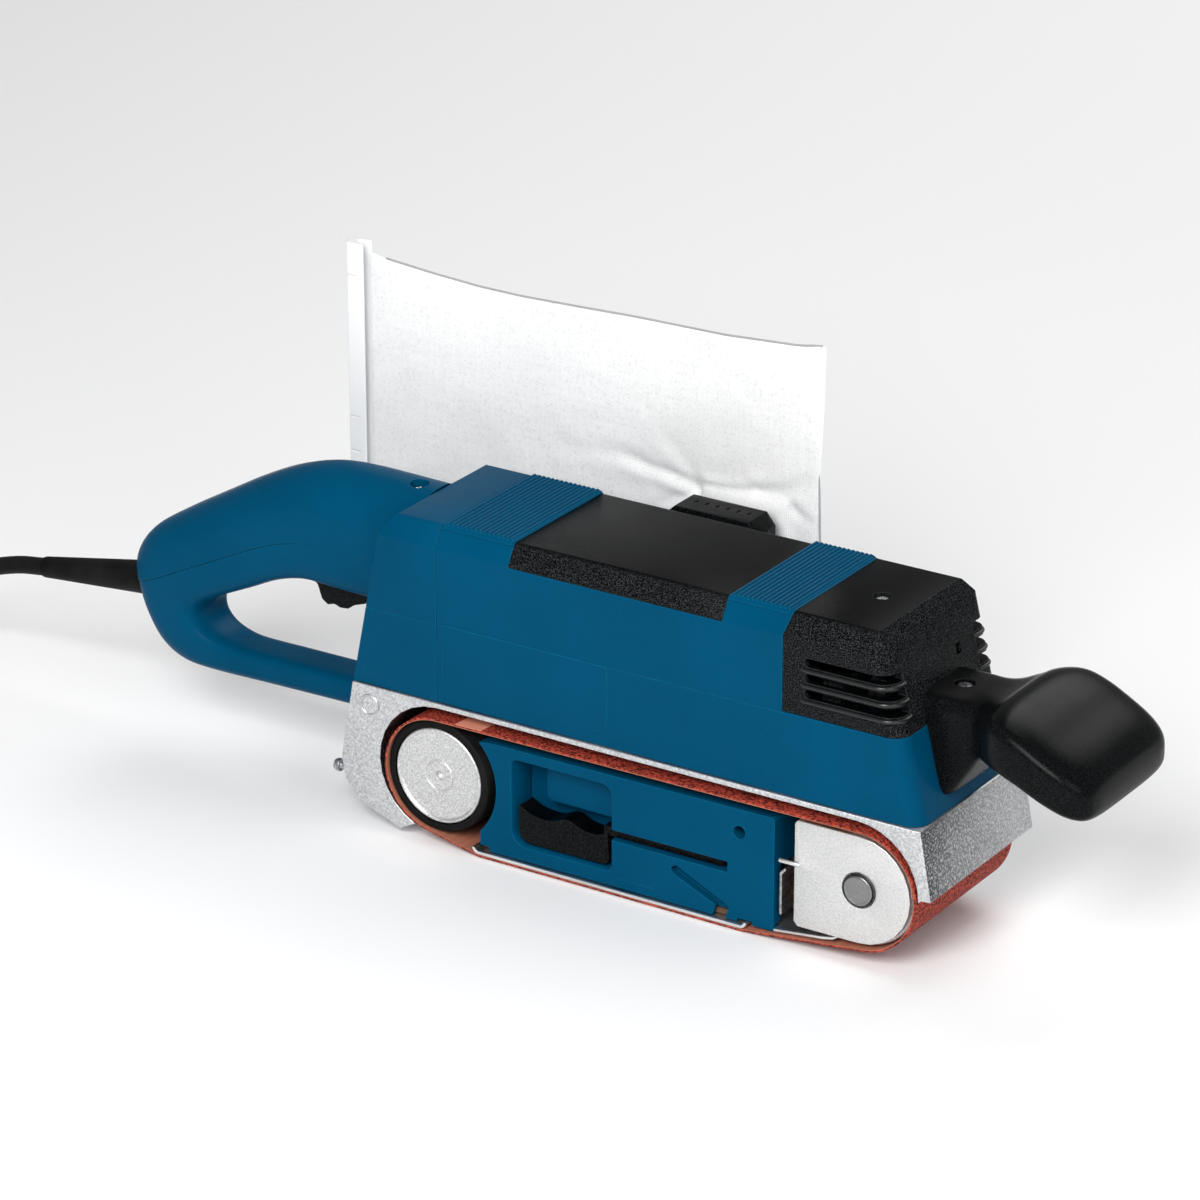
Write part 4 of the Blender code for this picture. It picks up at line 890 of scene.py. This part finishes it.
def rear_handle():
    hollow = [((-100, 134.6), (-100, 85.4), 18.0)] + GRIP[1:9]
    upper = common(grip_skin(0, GRIP), parting(0.15))
    upper = carve(upper, grip_skin(3.0, hollow, 2, 28), body_room())
    cord_hole = (-263.0, 0, 63.4)
    upper = carve(upper, rod("Z", (-126.5, -1.8, 133.0), 3.9, 9.0), rod("X", cord_hole, 7.6, 24.0))
    show(upper, "grip_upper", "blue", "handle_upper_shell", angle=50)
    lower = carve(grip_skin(0.3, GRIP), parting(-0.15))
    lower = carve(lower, grip_skin(3.0, hollow, 2, 28), body_room())
    trigger_slot = block((-182.0, -145.0), (-6.0, 6.0), (70, 96), 0.8)
    button_hole = rod("Y", (-168.0, 16.0, 95.0), 4.4, 16.0)
    lower = carve(lower, trigger_slot, button_hole, rod("X", cord_hole, 7.6, 24.0))
    show(lower, "grip_lower", "blue", "handle_lower_shell", angle=50)
    screw("handle_screw_head", "Z", (-126.5, -1.8, 133.0), 3.0, "turned", "handle_screw")

    shape = [(-181.0, 93.0, 1), (-181.0, 84.8, 1.5), (-174.6, 83.0, 2.0), (-172.4, 76.6, 2.0),
             (-169.6, 74.8, 1.2), (-166.4, 75.8, 2.0), (-163.4, 74.8, 1.2), (-159.6, 75.2, 1.5),
             (-156.6, 77.4, 2.0), (-150.8, 79.4, 2.0), (-148.0, 84.0, 2.0), (-147.5, 93.0, 1)]
    trigger = soften(prism("Y", rounded(shape, 5), (-5.6, 5.6)), 1.0, 4, 50)
    show(trigger, "trigger_lever", "smooth_black", "trigger")
    dome = [(0.0, 4.6), (2.6, 4.8), (3.4, 4.7), (3.9, 4.2), (4.0, 3.6), (4.0, -3.0), (0.0, -3.0)]
    button = turned("Y", (-168.0, 15.5, 95.0), dome, 40)
    show(button, "lock_button_cap", "smooth_black", "lock_on_button")


def front_handle():
    stations = [  # X, middle Z, half height, half width, boxiness
        (104.0, 85.6, 21.6, 17.6, 7), (120.0, 87.0, 20.2, 17.6, 7), (128.0, 91.8, 15.6, 17.8, 5.5),
        (134.0, 96.4, 11.8, 19.4, 5), (139.0, 98.6, 10.8, 26.4, 4.6), (145.0, 99.8, 11.4, 32.0, 4.6),
        (152.0, 99.4, 11.6, 35.2, 5), (160.0, 96.8, 11.6, 36.2, 5), (169.0, 92.6, 11.2, 36.4, 5),
        (178.0, 88.6, 10.6, 35.6, 4.6), (184.0, 86.2, 9.2, 33.2, 4.2), (187.0, 85.1, 6.6, 29.4, 4),
        (188.0, 84.8, 3.4, 24.0, 4),
    ]
    fine_a = smooth_route([s[:3] for s in stations], 5)
    fine_b = smooth_route([(s[3], s[4], 0) for s in stations], 5)
    rings = []
    for p, q in zip(fine_a, fine_b):
        ring = []
        for k in range(72):
            u, v = boxy(k, 72, q.y)
            crown = 0.9 * (1 - u * u) if v > 0 and p.x > 142 else 0.0
            ring.append((p.x, q.x * u, p.y + p.z * v + crown))
        rings.append(ring)
    face = [(front_face(z) + 0.3, z) for z in (40, 140)] + [(60, 140), (60, 40)]
    obj = carve(loft(rings), prism("Y", face, (-60, 60)), rod("Z", (118.0, 0.0, 108.0), 4.0, 7.0))
    show(obj, "front_grip", "smooth_black", "front_handle", angle=60)
    screw("front_handle_screw_head", "Z", (118.0, 0.0, 106.6), 3.3, "dark_steel",
          "front_handle_screw")


# ---- casting, belt and rollers -------------------------------------------------------------------
def casting():
    refined("frame_casting", "cast", 0.6, 3)
    ring = [(4.6, 0.5), (4.6, -0.1), (4.3, -0.4), (3.9, -0.4), (3.6, -0.1), (3.6, 0.5)]
    show(turned("Y", (-127.6, -37.1, 52.6), ring, 48), "cast_boss_mark", "cast")
    pin = [(0.0, 8.0), (1.4, 8.0), (1.4, 1.2), (2.6, 1.0), (2.6, -0.6), (2.1, -1.0), (2.1, -1.6),
           (1.2, -1.9), (0.0, -1.9)]
    show(turned("X", (-145.6, -33.0, 20.9), pin, 32), "guard_pin", "turned")


def belt_loop(out):
    """The belt's path in side view, moved outwards."""
    points = []
    for centre in (REAR, FRONT):
        points += arc(centre, ROLLER_R + 0.3 + out, 0, 360, 120)[:-1]
    for x in SOLE_X:
        points += arc((x, SOLE_Z + 3.0), 3.3 + out, 0, 360, 60)[:-1]
    return hull(points)


def sanding_belt():
    """Cloth backing and the coat of grit on it, with a taped splice."""
    cloth = prism("Y", belt_loop(0.3), (-37.55, 37.55), [belt_loop(0.02)])
    show(cloth, "belt_backing", "belt_cloth")
    grit = prism("Y", belt_loop(1.0), (-37.45, 37.45), [belt_loop(0.3)])
    show(grit, "belt_grit", "grit", "sanding_belt")
    slope = (FRONT[1] - REAR[1]) / (FRONT[0] - REAR[0])
    top = [(x, REAR[1] + ROLLER_R + 0.3 + 1.0 + slope * (x - REAR[0]) + up)
           for x, up in ((-82.0, -0.1), (-70.0, -0.1), (-70.0, 0.16), (-82.0, 0.16))]
    patch = prism("Y", top, (-37.6, 37.4))
    for vertex in patch.data.vertices:
        vertex.co.x += vertex.co.y * 0.12
    show(patch, "belt_splice", "splice")


def rollers():
    """Each piece is a profile of (radius, Y) turned about its roller's axle."""
    cup = [(0.0, -31.0), (16.6, -31.0), (16.6, 36.6), (20.0, 36.6), (20.1, -35.2), (19.9, -36.1),
           (19.4, -36.5), (18.9, -36.5), (18.5, -36.2), (18.2, -35.5), (6.7, -35.5), (6.5, -35.1),
           (6.1, -35.1), (5.9, -35.5), (1.9, -35.5), (1.7, -33.4), (0.0, -33.4)]
    sleeve = [(ROLLER_R, -35.9), (23.2, -36.4), (22.6, -36.7), (20.4, -36.5), (20.4, 36.6),
              (23.2, 36.6), (ROLLER_R, 36.2)]
    drum = [(22.9, 34.0), (23.3, 33.4), (ROLLER_R, 20.0), (ROLLER_R, -20.0), (23.3, -33.4),
            (22.9, -34.0), (13.6, -34.0), (13.6, -26.5), (10.0, -26.5), (10.0, 26.5), (13.6, 26.5),
            (13.6, 34.0)]
    axle = [(0.0, 37.2), (5.6, 37.2), (6.2, 36.6), (6.2, -37.2), (5.9, -37.7), (5.3, -37.9),
            (4.9, -37.7), (4.7, -37.75), (2.2, -37.85), (1.0, -37.9), (0.0, -37.9)]
    for profile, place, sides, name, look, node in (
        (cup, REAR, 96, "drive_roller_disc", "blasted", "drive_roller"),
        (sleeve, REAR, 96, "drive_roller_sleeve", "rubber", "roller_sleeve"),
        (drum, FRONT, 96, "front_roller_drum", "blasted", "idler_roller"),
        (axle, FRONT, 64, "front_axle", "axle", "idler_axle"),
    ):
        show(turned("Y", (place[0], 0, place[1]), profile, sides), name, look, node)


def fork():
    refined("roller_fork", "zinc", 0.35, 2)
    rim = [(7.2, 0.25), (7.2, -0.15), (7.0, -0.3), (6.6, -0.3), (6.5, 0.25)]
    collar = turned("Y", (FRONT[0], -36.95, FRONT[1]), rim, 64)
    show(collar, "axle_collar", "dark_steel", rides=body_of["roller_fork"])
    refined("lever_leaf_spring", "turned", 0.2, 2)
    refined("belt_guide_strip", "steel", 0.3, 2)
    wire = []
    for k in range(121):
        a = 2 * pi * k / 24
        wire.append((44.5 + 21.5 * k / 120, 6.6 * cos(a), 30.5 + 6.6 * sin(a)))
    coil = show(baked(tube(wire, 0.9, 4)), "tension_spring_wire", "turned", "tension_spring")
    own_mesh(coil)


# ---- side plate and lever ------------------------------------------------------------------------
def side_plate():
    hollow = arc(REAR, 27.0, -44, 45, 24)
    foot = [(58.0, 2.9), (48.8, 2.9), (48.4, 4.4), (42.0, 4.4), (41.6, 2.9), (-71.6, 2.9),
            (-72.0, 4.8), (-76.1, 4.8)]
    outline = hollow + [(-72.0, 49.5), (57.0, 50.2), (58.0, 49.2)] + foot
    obj = prism("Y", outline, (-36.0, -19.0))
    inside = [(-61.0, 9.2, 6.5), (-15.2, 9.2, 3), (-15.2, 45.0, 4.5), (-61.0, 45.0, 2.5)]
    mouth = [(-61.9, 8.3, 7.4), (-14.6, 8.3, 3.6), (-14.6, 45.8, 5.2), (-61.9, 45.8, 3.2)]
    recess, wide = rounded(inside, 8), rounded(mouth, 8)
    funnel = loft([[(u, -36.6, v) for u, v in wide], [(u, -35.2, v) for u, v in recess],
                   [(u, -21.5, v) for u, v in recess]])
    slot = block((-20, 37.4), (-40, -26.0), (22.4, 26.9), 0.4)
    groove = [(10.6, 16.6, 1.7), (14.0, 19.6, 1.9), (38.4, 8.2, 0.6), (35.0, -1.0, 0),
              (29.6, -1.0, 0), (32.0, 7.2, 0.6)]
    channel = prism("Y", rounded(groove), (-40, -32.6))
    notch = block((-90, 70), (-33.5, -10), (0, 5.3))
    front_notch = block((44.0, 70.0), (-31.0, -10.0), (0.0, 29.0))
    obj = carve(obj, notch, funnel, slot, rod("Z", (32.0, -30.0, 24.6), 1.9, 20.0))
    obj = carve(obj, channel, rod("Y", (42.6, -34.0, 40.6), 2.6, 16.0), front_notch)
    step = rounded([(-49.5, 28.0, 2.5), (-14.0, 28.0, 0), (-14.0, 46.0, 0), (-49.5, 46.0, 2.5)])
    obj = fuse(obj, soften(prism("Y", step, (-28.4, -20.0)), 0.9, 3, 40))
    obj = fuse(obj, block((-14.0, 4.0), (-36.12, -35.5), (6.4, 6.8)))
    show(obj, "side_plate_shell", "blue", "side_plate")
    ring = turned("Y", (42.6, -36.0, 40.6), [(3.3, 0.4), (3.3, -0.1), (3.1, -0.25), (2.8, -0.25),
                                             (2.6, -0.1), (2.6, 0.4)], 48)
    show(ring, "screw_hole_rim", "blue")
    screw("side_plate_screw", "-Y", (42.6, -31.0, 40.6), 2.3, "dark_steel")


def lever():
    px, py = 32.0, -30.0
    crest = smooth_route([(-58.6, 25.6, 0), (-54.5, 23.4, 0), (-50.0, 22.4, 0), (-45.5, 22.2, 0),
                          (-41.5, 23.2, 0), (-38.0, 24.6, 0), (-35.0, 24.6, 0), (-32.0, 23.2, 0),
                          (-28.0, 22.2, 0), (-23.5, 22.0, 0), (-20.0, 23.0, 0), (-18.0, 24.4, 0)], 4)
    foot = [(-58.6, 10.4, 4.5), (-17.0, 10.4, 3.0)]
    outline = rounded(foot + [(p.x, p.y, 0) for p in crest[::-1]], 4)
    grip = soften(prism("Y", outline, (-34.6, -25.0)), 0.8, 3, 50)
    plan = arc((px, py), 3.4, -90, 90, 16) + [(-20.0, py + 3.4), (-20.0, py - 3.4)]
    arm = soften(prism("Z", plan, (22.8, 26.5)), 0.5, 2, 50)
    obj = carve(fuse(grip, arm), rod("Z", (px, py, 24.6), 1.8, 20.0))
    show(obj, "release_lever_body", "smooth_black", "belt_release_lever", angle=45)


# ---- drive belt cover and dust port --------------------------------------------------------------
def drive_belt_cover():
    def loop(out):
        points = arc((APEX_X, MOTOR_Z), 6.0 + out, 0, 360, 40)[:-1]
        return hull(points + arc(REAR, 16.0 + out, 0, 360, 72)[:-1])

    cover = soften(prism("Y", loop(6.4), (36.3, 52.0)), 2.0, 4, 50)
    low = block((-160, -60), (20, 42.3), (0, 61.3))
    cover = carve(cover, prism("Y", loop(4.2), (20, 50.2)), low)
    for k in range(5):
        z = 44.0 + 7.0 * k
        bar = rounded([(-110.0, z - 1, 1), (-92.0, z - 1, 1), (-92.0, z + 1, 1),
                       (-110.0, z + 1, 1)], 4)
        cover = fuse(cover, soften(prism("Y", bar, (51.0, 52.5)), 0.4, 2, 50))
    show(cover, "drive_belt_cover_shell", "blue", "drive_belt_cover")
    for k, (x, z) in enumerate(((APEX_X, 97.5), (REAR[0], 21.0))):
        screw("cover_screw_%d" % k, "Y", (x, 52.5, z), 2.8)


def dust_port():
    plan = [(-36.0, 36.4, 0), (-36.0, 42.0, 2), (-33.0, 45.0, 2), (-33.0, 50.6, 0), (5.0, 50.6, 0),
            (5.0, 45.0, 2), (8.0, 42.0, 2), (8.0, 36.4, 0)]
    port = prism("Z", rounded(plan, 6), (103.0, 133.2))
    ends = [(-37.0, 100.0), (-37.0, 129.0), (-32.4, 133.2), (1.0, 133.2), (9.0, 123.4), (9.0, 100.0)]
    port = soften(common(port, prism("Y", ends, (30.0, 60.0))), 0.8, 3, 50)
    port = carve(port, block((-29.0, 1.0), (20, 60), (106.5, 121.5), 0.6))
    for k in range(6):
        x = -28.0 + 4.8 * k
        port = carve(port, block((x, x + 1.4), (43.0, 46.0), (132.8, 134.0)))
    show(port, "dust_port_collar", "smooth_black", "dust_port")


# ---- dust bag ------------------------------------------------------------------------------------
BAG_TOP = [(-195.4, 200.6), (-185.7, 198.6), (-161.6, 196.6), (-141.0, 195.4), (-120.8, 195.2),
           (-94.0, 196.0), (-67.6, 197.0), (-25.4, 197.6), (8.1, 199.8), (20.5, 202.2)]
CREASES = [  # from the dust port's corner outwards: start, end (X, Z), depth and width in mm
    ((-35.0, 131.0), (-66.0, 139.0), 1.5, 2.6),
    ((-35.0, 130.0), (-56.0, 120.0), 1.1, 2.4),
    ((-33.0, 133.0), (-10.0, 136.0), 1.0, 2.2),
    ((-10.0, 136.0), (12.0, 143.0), 0.7, 3.0),
    ((6.0, 133.0), (17.0, 128.0), 0.8, 2.4),
    ((-36.0, 134.0), (-52.0, 152.0), 0.5, 3.2),
    ((-60.0, 138.0), (-92.0, 139.0), 0.5, 3.5),
]


def bag_edge_top(x):
    """Height of the bag's sewn top edge at this X."""
    for (xa, za), (xb, zb) in zip(BAG_TOP, BAG_TOP[1:]):
        if x <= xb:
            t = max(0.0, (x - xa) / (xb - xa))
            return za + (zb - za) * t
    return BAG_TOP[-1][1]


def bag_layers(across=72, up=48):
    """Two flat layers of cloth, joined along their rim."""
    build = bmesh.new()
    grid = {}
    for layer in (-1, 1):
        for i in range(across + 1):
            for j in range(up + 1):
                rim = i in (0, across) or j in (0, up)
                key = (0 if rim else layer, i, j)
                if key in grid:
                    continue
                s, t = i / across, j / up
                right = 20.5 - 4.5 * (1 - t)
                x = -195.0 + (right + 195.0) * s
                z = 60.0 + (bag_edge_top(x) - 60.0) * t
                y = BAG_Y + (0.0 if rim else layer * (0.8 + 1.6 * sin(pi * s) * sin(pi * t)))
                grid[key] = build.verts.new((x * MM, y * MM, z * MM))
    for layer in (-1, 1):
        for i in range(across):
            for j in range(up):
                face = []
                for a, b in ((i, j), (i + 1, j), (i + 1, j + 1), (i, j + 1)):
                    rim = a in (0, across) or b in (0, up)
                    face.append(grid[(0 if rim else layer, a, b)])
                build.faces.new(face)
    return solid(build)


def creased(p):
    """How far the cloth at this point is pushed along Y by its waves and creases, in mm."""
    wave = noise.noise(Vector((p.x / 34.0, 3.7, p.z / 22.0)))
    wave += 0.4 * noise.noise(Vector((p.x / 11.0, 9.1, p.z / 9.0)))
    shift = 0.55 * wave
    if p.y >= BAG_Y:
        return shift
    for (xa, za), (xb, zb), depth, width in CREASES:
        length = hypot(xb - xa, zb - za)
        ux, uz = (xb - xa) / length, (zb - za) / length
        along = (p.x - xa) * ux + (p.z - za) * uz
        off = (p.x - xa) * -uz + (p.z - za) * ux + 1.2 * sin(along / 7.0)
        t = along / length
        if -0.1 < t < 1.3:
            fade = max(0.0, 1 - t / 1.3) * min(1.0, (t + 0.1) / 0.15)
            fold = exp(-((off / width) ** 2)) - 0.6 * exp(-(((off - width * 1.6) / width) ** 2))
            shift += fade * 1.5 * depth * fold
    return shift


def dust_bag():
    """Two sewn layers of cloth, filled by simulation and creased round the dust port."""
    bag = bag_layers()
    fixed = bag.vertex_groups.new(name="sewn")
    for vertex in bag.data.vertices:
        x, y, z = vertex.co / MM
        at_port = -34 < x < 6 and 100 < z < 134 and y < BAG_Y
        at_top = z > bag_edge_top(x) - 0.3
        at_rim = x < -194.0 or at_top or z < 60.3 or x > 20.3 - 4.5 * (201 - z) / 141
        if at_port:
            vertex.co.y = 58.4 * MM
        if at_port or at_rim:
            fixed.add([vertex.index], 1.0, "REPLACE")
    fill_with_air(bag)
    for vertex in bag.data.vertices:
        y = vertex.co.y / MM
        limit = 8.6 if y > BAG_Y else 7.0
        vertex.co.y = (BAG_Y + max(-limit, min(limit, y - BAG_Y))) * MM
    detail = bag.modifiers.new("smooth", "SUBSURF")
    detail.levels = detail.render_levels = 1
    bag = baked(bag)
    for vertex in bag.data.vertices:
        p = vertex.co / MM
        edge = min(1.0, (p.x + 195.0) / 12.0, abs(bag_edge_top(p.x) - p.z) / 6.0)
        port = 0.0 if -34 < p.x < 6 and 101 < p.z < 134 and p.y < BAG_Y else 1.0
        vertex.co.y += max(0.0, edge) * port * creased(p) * MM
    wall = bag.modifiers.new("cloth", "SOLIDIFY")
    wall.thickness = 0.5 * MM
    wall.offset = -1.0
    bag = baked(bag)
    show(bag, "dust_bag_cloth", "bag_cloth", "dust_bag", angle=80)

    seam = [Vector((x, BAG_Y, bag_edge_top(x) - 0.2)) for x in range(-186, 20, 4)]
    seam += [Vector((20.3 - 4.5 * (1 - t / 20), BAG_Y, 201.6 - t * 7.0)) for t in range(1, 21)]
    show(tube(seam, 0.45, 2), "bag_edge_seam", "seam", rides=body_of["dust_bag"])


def fill_with_air(bag):
    """Lets the sewn layers swell and settle as cloth."""
    cloth = bag.modifiers.new("cloth", "CLOTH")
    cloth.settings.quality = 6
    cloth.settings.mass = 0.12
    cloth.settings.tension_stiffness = 20.0
    cloth.settings.compression_stiffness = 20.0
    cloth.settings.bending_stiffness = 0.4
    cloth.settings.vertex_group_mass = "sewn"
    cloth.settings.use_pressure = True
    cloth.settings.uniform_pressure_force = 1.4
    cloth.settings.effector_weights.gravity = 0.0
    cloth.collision_settings.use_collision = False
    scene = bpy.context.scene
    for step in range(1, 19):
        scene.frame_set(step)
    view = bag.evaluated_get(bpy.context.evaluated_depsgraph_get())
    settled = [v.co.copy() for v in view.data.vertices]
    bag.modifiers.clear()
    scene.frame_set(1)
    for vertex, place in zip(bag.data.vertices, settled):
        vertex.co = place


def bag_rail():
    """White clip rail down the bag's open edge, with moulded marks."""
    clip = [(-203.0, 58.4), (-195.4, 58.4), (-194.9, 58.9), (-195.4, 59.5), (-199.4, 60.0),
            (-201.2, 62.0), (-199.4, 64.0), (-195.4, 64.5), (-194.9, 65.1), (-195.4, 65.6),
            (-203.0, 65.6), (-204.8, 62.0)]
    shape = rounded([(u, v, 0.35) for u, v in clip], 3)
    rail = prism("Z", shape, (58.0, 203.6))
    for z in (95.0, 113.0, 128.0, 189.0):
        rail = carve(rail, block((-206, -198), (57.8, 58.75), (z, z + 0.7)),
                     block((-206, -204.2), (57, 67), (z, z + 0.7)))
    show(rail, "bag_clip_rail", "white", "bag_slide_rail")


# ---- carried-over CAD pieces ---------------------------------------------------------------------
def carried_over():
    """Gives every CAD node its own finish."""
    special = {"motor_stator": "dark_steel", "sole_plate": "steel", "front_bearing_bridge": "black"}
    for node, obj in frame["nodes"].items():
        look = LOOKS[special.get(node, CARRIED[slot_of[node]])]
        for slot in obj.material_slots:
            slot.material = look


for build in (stage, carried_over, cord, main_housing, gear_housing, top_cover, front_cap,
              rear_handle, front_handle, casting, sanding_belt, rollers, fork, side_plate, lever,
              drive_belt_cover, dust_port, dust_bag, bag_rail):
    build()
